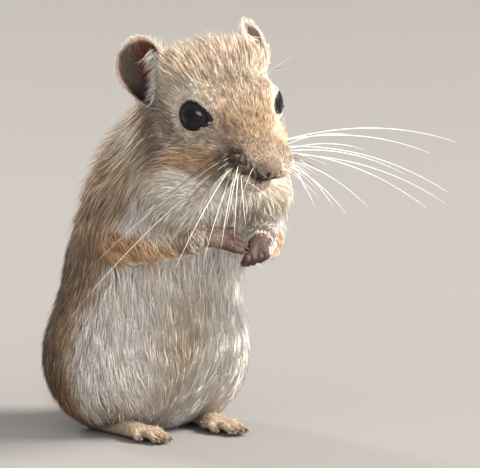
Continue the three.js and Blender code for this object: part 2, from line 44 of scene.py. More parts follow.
# The same sides as the sign of x, which the letter s stands for from here on
BOTH = (-1, 1)


# Small helpers on arrays of points and numbers

def vec(*numbers):
    return np.array(numbers, float)


def xyz(points):
    """The x, the y and the z of an array of points."""
    return np.moveaxis(points, -1, 0)


def to_the_left(points):
    """Points with those on the right side taken to their place on the left."""
    x, y, z = xyz(points)
    return np.stack([np.abs(x), y, z], -1)


def length_of(v):
    return np.sqrt((v * v).sum(-1))


def unit(v):
    return v / np.maximum(length_of(v), 1e-9)[..., None]


def mix(a, b, t):
    return a + (b - a) * t


def ramp(x, low, high):
    t = np.clip((x - low) / (high - low), 0, 1)
    return t * t * (3 - 2 * t)


def bump_at(p, centre, radius):
    """1 at a point, falling smoothly to 0 at a distance."""
    return 1 - ramp(length_of(p - centre), 0, radius)


def across_axis(axis):
    """A turn that takes +Z to an axis."""
    axis = unit(axis)
    side = unit(np.cross(vec(0, 0, 1), axis))
    return np.stack([side, np.cross(axis, side), axis], -1)


class Waves:
    """Smooth, seeded noise about 0, the size of one wave in mm."""

    COUNT = 10

    def __init__(self, size, seed):
        own = np.random.default_rng(seed)
        ways = unit(own.normal(size=(self.COUNT, 3)))
        self.k = ways * own.uniform(0.6, 1.5, (self.COUNT, 1)) * 2 * math.pi / size
        self.phase = own.uniform(0, 2 * math.pi, self.COUNT)

    def __call__(self, p):
        return np.sin(p @ self.k.T + self.phase).mean(-1) * 1.6


# The head's own frame: x to its left, y to the back, z up
HEAD_AT = vec(0, -35.7, 75.6)
PITCH, ROLL, YAW = np.radians([22.0, -6.0, -4.0])
HEAD = np.array(
    Matrix.Rotation(YAW, 3, "Z") @ Matrix.Rotation(PITCH, 3, "X") @ Matrix.Rotation(ROLL, 3, "Y")
)


def on_head(x, y, z):
    return HEAD @ vec(x, y, z) + HEAD_AT


def head_direction(x, y, z):
    return unit(HEAD @ vec(x, y, z))


def in_head(p):
    return (p - HEAD_AT) @ HEAD


# Fields: signed distance, near the surface, from points to a shape

def ellipsoid(centre, radii, turn=np.eye(3)):
    def field(p):
        local = (p - centre) @ turn / radii
        scaled = length_of(local)
        slope = np.maximum(length_of(local / radii), 1e-9)
        return np.where(scaled < 1e-6, -min(radii), scaled * (scaled - 1) / slope)

    return field


def round_cone(start, end, start_radius, end_radius):
    along = end - start

    def field(p):
        t = np.clip((p - start) @ along / (along @ along), 0, 1)
        return length_of(p - start - t[..., None] * along) - mix(start_radius, end_radius, t)

    return field


def chain(points, radii):
    parts = [round_cone(*four) for four in zip(points, points[1:], radii, radii[1:])]
    return lambda p: np.min([part(p) for part in parts], 0)


def blend_two(a, b, width):
    h = np.maximum(width - np.abs(a - b), 0) / width
    return np.minimum(a, b) - h * h * width / 4


def blend(width, *fields):
    def field(p):
        total = fields[0](p)
        for other in fields[1:]:
            total = blend_two(total, other(p), width)
        return total

    return field


def carve(a, hollow, width):
    return -blend_two(-a, hollow, width)


def head_ball(x, y, z, *radii):
    return ellipsoid(on_head(x, y, z), vec(*radii), HEAD)


def head_pair(x, *sizes):
    return head_ball(-x, *sizes), head_ball(x, *sizes)


def mirrored(x, y, z, *radii):
    return [ellipsoid(vec(s * x, y, z), vec(*radii)) for s in BOTH]


# The outside of the coat, from the same sizes as the solids
SHOULDER_AT = vec(14.5, -11, 50)
trunk = blend(
    9,
    ellipsoid(vec(0, 2, 17.5), vec(20.5, 19.5, 19.5)),
    ellipsoid(vec(0, -2, 27), vec(20.2, 19.5, 22)),
    ellipsoid(vec(0, 1, 38), vec(17, 18, 18)),
    ellipsoid(vec(0, -8, 45), vec(17.5, 18.5, 19)),
)
neck = blend(
    8,
    round_cone(vec(0, -10, 54), on_head(0, 14, -2), 18.5, 11.1),
    ellipsoid(vec(0, -22, 57), vec(16, 13, 11)),
    *mirrored(10, -28, 55, 8.5, 9.5, 8.5),
)
skull = blend(
    5,
    head_ball(0, 10, -2.4, 12.6, 13.6, 8.2),
    round_cone(on_head(0, 0, -2.4), on_head(0, -14.4, -5.9), 8.6, 3.9),
    *head_pair(7.5, 3.5, -9.5, 6.8, 9.5, 8),
    *head_pair(6.8, 13, 3.3, 6.6, 6.6, 5.8),
)
NOSE_AT = vec(0, -18.2, -5.4)
face = blend(
    2,
    skull,
    *head_pair(4.1, -12.2, -7, 3.9, 5, 4.2),
    head_ball(0, -7.2, -12, 4.8, 7.8, 3.4),
    *head_pair(6.4, 2, 2.6, 3.4, 5, 2.4),
    head_ball(*NOSE_AT, 2.5, 2, 2.2),
)
# The region about an eye holds all that its lids shape
EYE_RADIUS, EYE_REGION = 4.0, 9
EYES = {s: on_head(s * 8, 1.8, -1.2) for s in BOTH}
EYE_AXES = {s: head_direction(s * 0.88, -0.4, 0.22) for s in BOTH}
orbits = [
    ellipsoid(EYES[s] + EYE_AXES[s] * 4.8, vec(6.8, 6.2, 3), across_axis(EYE_AXES[s])) for s in BOTH
]
thighs = blend(4, *mirrored(14.3, 1.6, 15, 8.5, 15.5, 13.5))
shoulders = blend(4, *mirrored(*SHOULDER_AT, 6.5, 9, 8.5))
body = blend(7, trunk, thighs, shoulders, neck)


def hollowed_face(p):
    return carve(carve(face(p), orbits[0](p), 1.5), orbits[1](p), 1.5)


whole = blend(4, body, hollowed_face)

ARMS = {
    -1: {
        "elbow": vec(-17.8, -14, 44.8),
        "wrist": vec(-10.4, -35.2, 47.2),
        "palm": vec(-7.4, -37.6, 48),
        "knuckles": vec(-4.4, -39.2, 47.4),
        "tips": vec(-0.9, -39.8, 46.1),
        "spread": vec(0.25, 0.55, 0.8),
    },
    1: {
        "elbow": vec(18.5, -18, 43.5),
        "wrist": vec(7.4, -35.6, 46.2),
        "palm": vec(4.4, -37.8, 45.6),
        "knuckles": vec(3, -39.4, 43.8),
        "tips": vec(2, -38.4, 41.6),
        "spread": vec(0.95, -0.15, 0.1),
    },
}


def forearm(arm, thinner=0):
    middle = mix(arm["elbow"], arm["wrist"], 0.5) + vec(0, 0, -0.8)
    points = [mix(arm["elbow"], middle, 0.3), middle, mix(arm["wrist"], arm["palm"], 0.3)]
    return chain(points, [4.8 - thinner, 4.2 - thinner, 2.8 - thinner])


forearms = {s: forearm(ARMS[s]) for s in BOTH}

# The tail's course on the floor
TAIL_LENGTH = 104
TAIL_RADIUS = 3


def tail_point(u):
    turned = math.radians(52) * u * 0.55 + 0.16
    height = mix(7.5, TAIL_RADIUS * 0.82, ramp(u, 0, 0.16))
    along = u * TAIL_LENGTH
    return np.stack([along * np.sin(turned), 14 + along * np.cos(turned) * 0.97, height], -1)


def tail_radius(u):
    return TAIL_RADIUS * mix(1.15, 0.72, ramp(u, 0, 0.6))


TAIL_U = np.linspace(0, 1, 27)
TAIL_LINE = tail_point(TAIL_U)


# How deep the coat is above the skin, in mm

NAPE_POINT, NAPE_NORMAL = on_head(0, 13, -7), head_direction(0, -0.55, 0.83)
COAT_ALONG_HEAD = [-20, -18, -15, -10, -4, 4, 12, 18]
COAT_DEPTH_HEAD = [0.02, 0.2, 0.4, 0.6, 0.85, 1.1, 1.5, 2.0]


def headness(p):
    return ramp((p - NAPE_POINT) @ NAPE_NORMAL, -7, 5)


def eye_distance(p):
    return np.minimum(length_of(p - EYES[-1]), length_of(p - EYES[1]))


def coat_depth(p):
    _, y, z = xyz(in_head(p))
    on_the_head = np.interp(y, COAT_ALONG_HEAD, COAT_DEPTH_HEAD)
    on_the_head = on_the_head * mix(1, 1.7, ramp(-z, 7, 15) * ramp(y, -14, -6))
    on_the_head = on_the_head * mix(0.3, 1, ramp(eye_distance(p), 4.5, 9))
    below = mix(2.5, 3.1, ramp(-p[..., 1], 2, 14))
    return mix(below, on_the_head, headness(p))


# The skin: the outline less the coat, with lids, nostrils and a mouth

# How far the lids' middle is from the eye's centre, and how thick their rim is
LID_REACH, LID_RADIUS = 4.25, 0.36
LOWEST_SKIN = 0.35


def tail_skin(p):
    return chain(TAIL_LINE, tail_radius(TAIL_U) - 0.75)(p)


arm_skins = [forearm(ARMS[s], 1.2) for s in BOTH]


def plain_skin(p):
    _, y, z = xyz(p)
    f = whole(p) + coat_depth(p)
    far = y > 8
    if far.any():
        f = f.copy()
        f[far] = blend_two(f[far], tail_skin(p[far]), 5)
    front = (y < -8) & (z > 34) & (z < 58)
    if front.any():
        for arm in arm_skins:
            f[front] = blend_two(f[front], arm(p[front]), 4)
    for s in BOTH:
        reach = length_of(p - EYES[s])
        near = reach < EYE_REGION
        f[near] = blend_two(f[near], reach[near] - LID_REACH, 1.2)
    return np.maximum(f, LOWEST_SKIN - z)


def surface_point(field, start, direction):
    near, far = 0.0, 0.0
    while field((start + direction * far)[None])[0] < 0:
        near, far = far, far + 0.2
    for _ in range(20):
        middle = (near + far) / 2
        if field((start + direction * middle)[None])[0] < 0:
            near = middle
        else:
            far = middle
    return start + direction * far


# The lids' opening on each side, as angles at the eye's centre: to the front or back, up or down, and at
# its front corner
OPENING = {-1: np.radians([50, 46, 15]), 1: np.radians([54, 31, 6])}
CORNER_AT, CORNER_WIDTH = 0.12, 0.48


def lid_frame(s):
    axis = EYE_AXES[s]
    forward = head_direction(0, -0.97, 0.12)
    front = unit(forward - axis * (forward @ axis))
    return axis, front, np.cross(axis, front) * -s


def lid_edge(s, angle):
    wide, high, corner = OPENING[s]
    oval = np.hypot(np.cos(angle) * wide, np.sin(angle) * high)
    return oval + corner * np.exp(-(((angle - CORNER_AT) / CORNER_WIDTH) ** 2))


def lid_ridge(s, p):
    """Distance to the rim of the lids, how far outside the opening a point is, and how far from the eye."""
    axis, front, up = lid_frame(s)
    local = p - EYES[s]
    reach = length_of(local)
    out = local / np.maximum(reach, 1e-6)[..., None]
    angle = np.arctan2(out @ up, out @ front)
    past = (np.arccos(np.clip(out @ axis, -1, 1)) - lid_edge(s, angle)) * LID_REACH
    return np.hypot(past, reach - LID_REACH) - LID_RADIUS, past, reach


def about_eyes(p):
    """The side of each eye that has points near it, and which these are."""
    for s in BOTH:
        near = length_of(p - EYES[s]) < EYE_REGION
        if near.any():
            yield s, near


def past_lids(p):
    """How far outside the opening of the nearer eye's lids a point is."""
    out = np.full(p.shape[:-1], float(EYE_REGION))
    for s, near in about_eyes(p):
        out[near] = np.minimum(lid_ridge(s, p[near])[1], EYE_REGION)
    return out


def nostril(s):
    turn = Matrix.Identity(3)
    for angle, axis in ((0.5, "X"), (0.3 * s, "Y"), (0.5 * s, "Z")):
        turn = turn @ Matrix.Rotation(angle, 3, axis)
    centre = on_head(s * 1.3, NOSE_AT[1] - 1.35, NOSE_AT[2] - 0.5)
    return ellipsoid(centre, vec(0.42, 0.95, 0.6), HEAD @ np.array(turn))


def mouth_points(lift):
    points = []
    for u in np.linspace(-1, 1, 9):
        inside = on_head(u * 3.8, -6 + 3 * u * u, -10.6 - 0.7 * u * u + lift)
        points.append(surface_point(plain_skin, inside, head_direction(u * 0.75, -1, 0)))
    return points


def even_sided(*radii):
    """Radii from the middle of the mouth to its corner, for both sides."""
    return [*radii[:0:-1], *radii]


mouth_line = chain(mouth_points(0), even_sided(0.4, 0.34, 0.26, 0.2, 0.12))
upper_lip = chain(mouth_points(0.75), [0.34] * 9)
lower_lip = chain(mouth_points(-0.8), even_sided(0.38, 0.36, 0.32, 0.28, 0.25))
philtrum_line = [
    surface_point(plain_skin, on_head(0, -8, z), head_direction(0, -1, 0))
    for z in (NOSE_AT[2] - 1.4, -8.6, -10.6)
]
philtrum = chain(philtrum_line, [0.24, 0.22, 0.24])
HOLLOWS = [nostril(-1), nostril(1), mouth_line, philtrum]
NOSE_POINT = on_head(0, -18.5, -7.5)


# The widths over which the lids, the lips, the hollows of the nose and mouth, and the socket meet the skin
LIDS_SOFT, LIPS_SOFT, HOLLOWS_SOFT, SOCKET_SOFT = 0.5, 0.6, 0.3, 0.12
# The skin keeps this gap to the eye, and the opening is cut to this depth below the eye's surface
EYE_GAP, CUT_DEPTH = 0.02, 1.2
# The rim of the lids stays this wide inside their edge, and the opening widens by this share outwards
RIM_KEPT, OPENING_GROWS = 0.15, 0.4


def detailed_skin(p):
    f = plain_skin(p)
    for s, near in about_eyes(p):
        ridge, past, reach = lid_ridge(s, p[near])
        # Nothing but the eye shows through the lids' opening, which widens outwards
        window = past + RIM_KEPT - OPENING_GROWS * (reach - LID_REACH)
        window = np.where(reach > EYE_RADIUS - CUT_DEPTH, window, 2)
        g = blend_two(carve(f[near], window, HOLLOWS_SOFT), ridge, LIDS_SOFT)
        f[near] = carve(g, reach - EYE_RADIUS - EYE_GAP, SOCKET_SOFT)
    near = length_of(p - NOSE_POINT) < 10
    if near.any():
        q = p[near]
        g = blend_two(blend_two(f[near], lower_lip(q), LIPS_SOFT), upper_lip(q), LIPS_SOFT)
        for hollow in HOLLOWS:
            g = carve(g, hollow(q), HOLLOWS_SOFT)
        f[near] = g
    return f


# Surfaces: quads found block by block on one lattice, so that only what is near the surface is looked at

# Lattice steps along a block's side
BLOCK = 20


def surface(field, low, high, step):
    """Points and quads of a field's surface in a box, as one quad for each lattice edge that it crosses."""
    counts = np.ceil((high - low) / step).astype(int)
    stride = np.array([(counts[1] + 4) * (counts[2] + 4), counts[2] + 4, 1])
    n = BLOCK + 2
    keys, points, quads = [], [], []
    for start in np.ndindex(*(-(-counts // BLOCK))):
        first = np.array(start) * BLOCK
        middle = low + (first + BLOCK / 2) * step
        if abs(field(middle[None])[0]) > step * BLOCK * 1.5:
            continue
        spans = (np.arange(n) + f - 1 for f in first)
        grid = np.stack(np.meshgrid(*spans, indexing="ij"), -1)
        v = field((low + grid * step).reshape(-1, 3)).reshape(n, n, n)
        cells = grid[:-1, :-1, :-1]
        key = ((cells + 1) * stride).sum(-1)
        total = np.zeros((*cells.shape[:3], 3))
        count = np.zeros(cells.shape[:3])
        for axis in range(3):
            a = np.moveaxis(v, axis, 0)
            a, b = a[:-1], a[1:]
            crossed = (a < 0) != (b < 0)
            t = np.where(crossed, a / np.where(crossed, a - b, 1), 0)
            b_axis, c_axis = sorted({0, 1, 2} - {axis})
            for i in (0, 1):
                for j in (0, 1):
                    here = np.moveaxis(crossed[:, i : i + n - 1, j : j + n - 1], 0, axis)
                    share = np.moveaxis(t[:, i : i + n - 1, j : j + n - 1], 0, axis)
                    count += here
                    total[..., axis] += share
                    total[..., b_axis] += here * i
                    total[..., c_axis] += here * j
            # Each crossed lattice edge of this block gives one quad of its four cells
            b_axis, c_axis = (axis + 1) % 3, (axis + 2) % 3
            edges = np.argwhere(np.moveaxis(crossed, 0, axis))
            own = (edges >= 1).all(-1) & (edges <= n - 2).all(-1)
            edges = edges[own]
            if not len(edges):
                continue
            corners = []
            for back_b, back_c in ((1, 1), (0, 1), (0, 0), (1, 0)):
                cell = edges.copy()
                cell[:, b_axis] -= back_b
                cell[:, c_axis] -= back_c
                corners.append(key[tuple(cell.T)])
            made = np.stack(corners, -1)
            outward = v[tuple(edges.T)] < 0
            made[~outward] = made[~outward][:, ::-1]
            quads.append(made)
        used = count > 0
        keys.append(key[used])
        points.append(low + (cells[used] + total[used] / count[used][:, None]) * step)
    keys, where = np.unique(np.concatenate(keys), return_index=True)
    points = np.concatenate(points)[where]
    quads = np.searchsorted(keys, np.concatenate(quads))
    used, quads = np.unique(quads, return_inverse=True)
    return points[used], quads.reshape(-1, 4)


SMALL_STEP = 0.05


def slope(field, p):
    """A field's value at points, and how it grows there."""
    f = field(p)
    g = np.stack([field(p + SMALL_STEP * axis) - f for axis in np.eye(3)], -1) / SMALL_STEP
    return f, g


def settle(field, p, steps=2, most=0.5):
    """Moves points along the field's slope onto its surface."""
    for _ in range(steps):
        f, g = slope(field, p)
        away = -f / np.maximum((g * g).sum(-1), 0.1)
        p = p + g * np.clip(away, -most, most)[..., None]
    return p


def even_out(points, faces):
    """One pass of smoothing, half way to the neighbours' middle."""
    total = np.zeros_like(points)
    count = np.zeros(len(points))
    sides = faces.shape[1]
    for i in range(sides):
        for j in (1, sides - 1):
            np.add.at(total, faces[:, i], points[faces[:, (i + j) % sides]])
            np.add.at(count, faces[:, i], 1)
    return mix(points, total / np.maximum(count, 1)[:, None], 0.5)


def refined(points, faces, chosen):
    """The mesh with the faces near chosen balls cut in four, as a list of faces."""
    mesh = bpy.data.meshes.new("work")
    mesh.from_pydata(points.tolist(), [], faces)
    bm = bmesh.new()
    bm.from_mesh(mesh)
    bpy.data.meshes.remove(mesh)
    inside = np.zeros(len(bm.faces), bool)
    middles = np.array([f.calc_center_median() for f in bm.faces])
    for centre, radius in chosen:
        inside |= length_of(middles - centre) < radius
    edges = {e for f, use in zip(bm.faces, inside) if use for e in f.edges}
    bmesh.ops.subdivide_edges(bm, edges=list(edges), cuts=1, use_grid_fill=True)
    bm.verts.index_update()
    points = np.array([v.co for v in bm.verts])
    faces = [[v.index for v in f.verts] for f in bm.faces]
    bm.free()
    return points, faces


def fans(group):
    return group if group.shape[1] == 3 else np.concatenate([group[:, [0, 1, 2]], group[:, [0, 2, 3]]])


def grouped(faces):
    """Arrays of triangles and quads from a list of faces. Other faces become fans of triangles."""
    by_sides = {}
    for f in faces:
        by_sides.setdefault(len(f), []).append(f)
    groups = []
    for sides, group in by_sides.items():
        group = np.array(group)
        if sides > 4:
            group = np.concatenate([group[:, [0, i, i + 1]] for i in range(1, sides - 1)])
        groups.append(group)
    return groups


# Meshes and objects

def add_object(name, data):
    made = bpy.data.objects.new(name, data)
    bpy.context.scene.collection.objects.link(made)
    return made


def mesh_object(name, points, faces):
    """A mesh object in metres, from points in mm and one array of faces or one for each count of sides."""
    groups = faces if isinstance(faces, list) else [faces]
    mesh = bpy.data.meshes.new(name)
    corners = np.concatenate([g.ravel() for g in groups]).astype(np.int32)
    sizes = np.concatenate([np.full(len(g), g.shape[1]) for g in groups])
    mesh.vertices.add(len(points))
    mesh.vertices.foreach_set("co", (np.asarray(points) * 0.001).astype(np.float32).ravel())
    mesh.loops.add(len(corners))
    mesh.loops.foreach_set("vertex_index", corners)
    mesh.polygons.add(len(sizes))
    mesh.polygons.foreach_set("loop_start", np.concatenate([[0], np.cumsum(sizes)[:-1]]).astype(np.int32))
    mesh.update(calc_edges=True)
    mesh.validate()
    mesh.polygons.foreach_set("use_smooth", np.full(len(mesh.polygons), True))
    return add_object(name, mesh)


def linear(colour):
    colour = np.clip(colour, 0, 1)
    return np.where(colour < 0.04045, colour / 12.92, ((colour + 0.055) / 1.055) ** 2.4)


def paint(made, colours):
    """Stores colours, given as seen on a screen, on the mesh's points."""
    layer = made.data.color_attributes.new("Marking", "FLOAT_COLOR", "POINT")
    rgba = np.ones((len(colours), 4), np.float32)
    rgba[:, :3] = linear(colours)
    layer.data.foreach_set("color", rgba.ravel())
    made.data.color_attributes.active_color = layer


def joined(parts):
    """Several (points, faces of one side count, colours) as one, with faces grouped by their side count."""
    points, colours, groups, start = [], [], {}, 0
    for part_points, part_faces, part_colours in parts:
        points.append(part_points)
        colours.append(part_colours)
        for group in part_faces if isinstance(part_faces, list) else [part_faces]:
            groups.setdefault(group.shape[1], []).append(group + start)
        start += len(part_points)
    return np.concatenate(points), [np.concatenate(g) for g in groups.values()], np.concatenate(colours)


# Materials, all made of nodes

class Look:
    """A material and its principled shader, to which nodes are added and joined."""

    def __init__(self, name, **values):
        self.material = bpy.data.materials.new(name)
        self.material.use_nodes = True
        self.tree = self.material.node_tree
        self.shader = self.tree.nodes["Principled BSDF"]
        self.set(self.shader, values)

    def set(self, node, values):
        for key, value in values.items():
            node.inputs[key.replace("_", " ")].default_value = value
        return node

    def add(self, kind, operation=None, **values):
        node = self.tree.nodes.new("ShaderNode" + kind)
        if operation:
            node.operation = operation
        return self.set(node, values)

    def join(self, output, node, key):
        self.tree.links.new(output, node.inputs[key])

    def noise(self, scale, detail):
        place = self.add("TexCoord")
        noise = self.add("TexNoise", Scale=scale, Detail=detail)
        self.join(place.outputs["Object"], noise, "Vector")
        return noise.outputs["Fac"]

    def roughen(self, noise, least, most):
        rough = self.add("MapRange", To_Min=least, To_Max=most)
        self.join(noise, rough, "Value")
        self.join(rough.outputs[0], self.shader, "Roughness")


def material(name, roughness, colour=None, variation=0.12, scale=900, grain=None, **values):
    """Principled: the points' painted colours (marks, with some painted light and shade) or one colour,
    varied by noise, with uneven roughness and a fine grain.
    """
    look = Look(name, **values)
    if colour is None:
        source = look.add("VertexColor")
        source.layer_name = "Marking"
    else:
        source = look.add("RGB")
        source.outputs[0].default_value = (*linear(np.array(colour)), 1)
    noise = look.noise(scale, 4)
    light = look.add("MapRange", From_Min=0.3, From_Max=0.7, To_Min=1 - variation, To_Max=1 + variation)
    look.join(noise, light, "Value")
    shade = look.add("VectorMath", "SCALE")
    look.join(source.outputs[0], shade, 0)
    look.join(light.outputs[0], shade, "Scale")
    look.join(shade.outputs[0], look.shader, "Base Color")
    look.roughen(noise, *roughness)
    if grain:
        fine = look.noise(grain[0], 3)
        bump = look.add("Bump", Strength=0.6, Distance=grain[1])
        look.join(fine, bump, "Height")
        look.join(bump.outputs[0], look.shader, "Normal")
    return look.material


coat_look = material("coat_look", (0.48, 0.68), scale=1300, variation=0.1, Specular_IOR_Level=0.35)


# Marks, the same for the skin and the coat, as colours seen on a screen, with some painted light and shade

CROWN, TAN, BACK = vec(0.82, 0.735, 0.65), vec(0.76, 0.67, 0.56), vec(0.54, 0.465, 0.39)
WHITE, CREAM, BUFF = vec(0.96, 0.92, 0.885), vec(0.92, 0.86, 0.78), vec(0.83, 0.68, 0.52)
RUFOUS, GREY, DARK = vec(0.66, 0.48, 0.34), vec(0.63, 0.56, 0.49), vec(0.23, 0.17, 0.14)
BRIDGE, LIP_PINK, TUFT_DARK = vec(0.75, 0.63, 0.50), vec(0.86, 0.70, 0.65), vec(0.13, 0.10, 0.09)
WRIST_BROWN_AND_SHADE, TIP_BROWN = vec(0.54, 0.45, 0.37), vec(0.66, 0.57, 0.50)
BEHIND_EAR = vec(15, 20.5, -10)
broad_noise, fine_noise, lock_noise = Waves(11, 3), Waves(3.2, 4), Waves(2.6, 5)
FLANK_HEIGHTS = [0, 8, 20, 31, 43, 50, 56, 62]
FLANK_EDGE = [-1, -2.5, -2.5, -3, -7, -16, -18, -19.5]
sleeves = {
    s: chain(
        [SHOULDER_AT * vec(s, 1, 1) + vec(0, -2, 0), ARMS[s]["elbow"], ARMS[s]["wrist"]], [6.0, 6.4, 3.6]
    )
    for s in BOTH
}
# From the whisker roots along the lip to under the nose, on one side, in the head's frame
LIP_BAND = vec((6, -13.5, -4.8), (5, -15.8, -5.6), (3.7, -17.3, -6.5), (1.8, -18.6, -7.8), (0, -18.2, -8.8))
lip_band = chain(LIP_BAND, [2.0, 1.6, 1.1, 0.9, 0.8])


def tail_share(p):
    """How far along the tail a point is, from 0 at its root to 1."""
    off = p[..., None, :] - TAIL_LINE
    return TAIL_U[np.argmin((off * off).sum(-1), -1)]


def tailness(p, behind, above):
    """1 on the tail and 0 off it, over two ranges: how far behind, and how far above the floor."""
    _, y, z = xyz(p)
    return ramp(y, *behind) * (1 - ramp(z, *above))


def markings_and_painted_light(p):
    """The coat's colour, with some painted light and shade, and how many of its tips are dark."""
    px, py, pz = xyz(p)
    # How far a point is on the head's left side, which faces the key light: there the muzzle is given
    # painted light
    lit_left_side = ramp(in_head(p)[..., 0], -0.5, 2.5)
    h = to_the_left(in_head(p))
    x, y, z = xyz(h)
    head = headness(p)
    body_share = 1 - head
    broad, fine = broad_noise(p), fine_noise(p)
    wander = broad * 1.6 + fine * 0.6
    colour = np.broadcast_to(BACK, p.shape)
    ticks = np.full(p.shape[:-1], 0.5)

    def lay(shade, share, dark):
        nonlocal colour, ticks
        share = np.clip(share, 0, 1)
        colour = mix(colour, shade, share[..., None])
        ticks = mix(ticks, dark, share)

    # Flanks, outer thighs, belly and chest
    lay(TAN, ramp(0.25 * pz - py, -2, 14) * 0.7, 0.35)
    lay(RUFOUS, (1 - ramp(pz, 6, 22)) * ramp(np.abs(px), 12, 20) * 0.65, 0.3)
    past_edge = py - np.interp(pz, FLANK_HEIGHTS, FLANK_EDGE) - wander
    lay(BUFF, (1 - ramp(np.abs(past_edge - 2), 0.5, 5)) * 0.4 * body_share, 0.2)
    lay(mix(TAN, CREAM, 0.6), ramp(pz, 44, 54) * ramp(-py, 3, 15) * body_share * 0.4, 0.3)
    lay(WHITE, (1 - ramp(past_edge, -3.5, 3.5)) * body_share, 0.03)
    # A warmer, darker tone low in the middle of the belly: partly the fur's colour, partly painted shade in
    # the groove between the thighs
    low_belly = bump_at(p * vec(1, 0, 0.5), vec(-3, 0, 15), 11)
    lay(mix(CREAM, BUFF, 0.25), low_belly * body_share * ramp(-py, 8, 16) * 0.7, 0.05)
    # A buff band runs from the shoulder along each arm to the wrist
    off_band = pz - 45.6 + 0.4 * wander
    above = ramp(off_band, 0, 2)
    band = ramp(3.2 - np.abs(off_band), mix(-1.5, -3.6, above), mix(1.5, 3.0, above))
    band = band * ramp(np.abs(px - 1), 10, 13.5) * ramp(-py, 3, 13)
    lay(mix(BUFF, RUFOUS, 0.22), band * 0.9 * body_share, 0.14)
    # A darker buff patch on the band at each elbow: partly the fur's colour, partly painted shade
    elbow_patch_and_shade = bump_at(to_the_left(p) * vec(1, 1, 0.7), vec(21, -17.5, 33.5), 6.5)
    lay(mix(BUFF, RUFOUS, 0.5), elbow_patch_and_shade * 0.9 * body_share, 0.2)
    # The right wrist only: its brown fur, darkened as painted shade
    lay(WRIST_BROWN_AND_SHADE, bump_at(p, ARMS[-1]["wrist"] + vec(-1.5, 1, 0), 7) * 1.6, 0.3)
    # Crown, cheeks and the ground between eye, ear and nose
    lay(CROWN, head, 0.3)
    lay(BRIDGE, head * ramp(-y, 1, 9) * ramp(z, -5, 0) * 0.8, 0.4)
    lay(GREY, head * ramp(x, 8, 13) * ramp(y, -4, 4) * ramp(-z, 2, 7) * 0.8, 0.45)
    patch = np.hypot((y + 3.5) / 2.2, z + 9.2 + 0.15 * (y + 4.5)) + 0.5 * fine
    lay(BUFF, head * (1 - ramp(patch, 1.0, 3.6)) * ramp(x, 3, 7) * 0.75, 0.12)
    below_cheek = -10.4 - 0.36 * np.clip(y + 8, -4, 40) + wander * 0.6 - z
    lay(mix(WHITE, CREAM, 0.5), head * ramp(below_cheek, -2.2, 2.8), 0.05)
    rim = eye_distance(p)
    above = ramp(0.8 * z + 0.6 * y, 0, 4)
    lay(CREAM, (1 - ramp(rim, 5.0, mix(6.4, 8.6, above))) * mix(0.7, 1, above), 0.03)
    lay(BRIDGE, head * bump_at(h, vec(7.1, -0.6, 5.2), 3.2) * 0.75, 0.3)
    lay(CREAM, head * bump_at(h * vec(1, 0.8, 1), vec(13.5, 9, 2.0), 7) * 0.8, 0.1)
    lay(mix(CREAM, WHITE, 0.6), bump_at(h, BEHIND_EAR, 8.5) * 1.1, 0.08)
    # Muzzle: grey about the whiskers, a dark band along the lip, a brown tip and a pale pink chin. The grey
    # and the dark band are partly painted shade on the right side, and are painted fainter on the left
    # side, which faces the key light
    lay(CREAM, head * ramp(-y, 9, 14) * ramp(-z, 4.8, 7) * 0.85, 0.05)
    pad = bump_at(h * vec(1, 1, 1.3), vec(7.6, -9.6, -5.4), 4.5)
    lay(GREY, head * pad * (1 - 0.6 * lit_left_side), 0.4)
    mottle = np.clip(0.74 + fine_noise(p * 2.6) * 0.7, 0, 1) * (1 - 0.8 * lit_left_side)
    lay(DARK, head * (1 - ramp(lip_band(h), -0.7, 1.0)) * mottle, 0.6)
    tip = head * ramp(-y, 16.4, 18.6) * (1 - ramp(x, 1.8, 3.2))
    lay(TIP_BROWN, tip * ramp(z, -7, -5) * 0.85, 0.4)
    # Painted shade: darker under the nose tip
    nose_underside_shade = head * ramp(-y, 15.5, 17) * (1 - ramp(x, 2.2, 3.2))
    lay(DARK * 0.8, nose_underside_shade * ramp(-z, 6.2, 7.6) * ramp(z, -10.2, -9.2), 0.5)
    lay(LIP_PINK, head * bump_at(h * vec(0.8, 1, 1), vec(0, -13.8, -11.6), 4.0) * 0.6, 0)
    # Painted light: the lower muzzle is paler on the left side, which faces the key light
    lay(CREAM * 0.92, lit_left_side * bump_at(h, vec(8, -9, -17), 9), 0.05)
    # Painted shade: grey low on the right side of the belly, near the floor
    lay(GREY, bump_at(p, vec(-20.5, -8.5, 8), 9) * 0.6, 0.2)
    # Tail
    on_tail = tailness(p, (16, 22), (9, 13))
    lay(RUFOUS * 1.05, on_tail * 0.8, 0.4)
    lay(CREAM, on_tail * ramp(-pz, -2.6, -1), 0.05)
    lay(TUFT_DARK, on_tail * ramp(tail_share(p) + 0.05 * ramp(pz, 2, 5), 0.62, 0.8), 0.8)
    return colour * (1 + 0.04 * broad + 0.05 * fine)[..., None], ticks


# Forepaws and hind feet, without their claws

PAW_DARK, PAW_GREY, FOOT_PALE = vec(0.27, 0.20, 0.17), vec(0.45, 0.40, 0.36), vec(0.62, 0.54, 0.46)
FINGER_PITCH, TOE_PITCH = 1.55, 1.45
TOE_REACHES = [4.6, 6.8, 7.4, 6.8, 4.2]
LOWEST_FOOT = 0.14


def knob(centre, *radii):
    return ellipsoid(centre, vec(*radii))


def fingers(arm):
    """Each finger's root, bend and tip."""
    spread = unit(arm["spread"])
    ahead = unit(arm["knuckles"] - arm["palm"])
    for finger in range(4):
        across = (finger - 1.5) * FINGER_PITCH
        root = mix(arm["knuckles"], arm["palm"], 0.25) + spread * across * 0.85
        bend = arm["knuckles"] + ahead * 1.3 + spread * across
        tip = arm["tips"] + spread * across * 0.8
        yield root, bend, mix(tip, bend, 0.25 if finger in (0, 3) else 0)


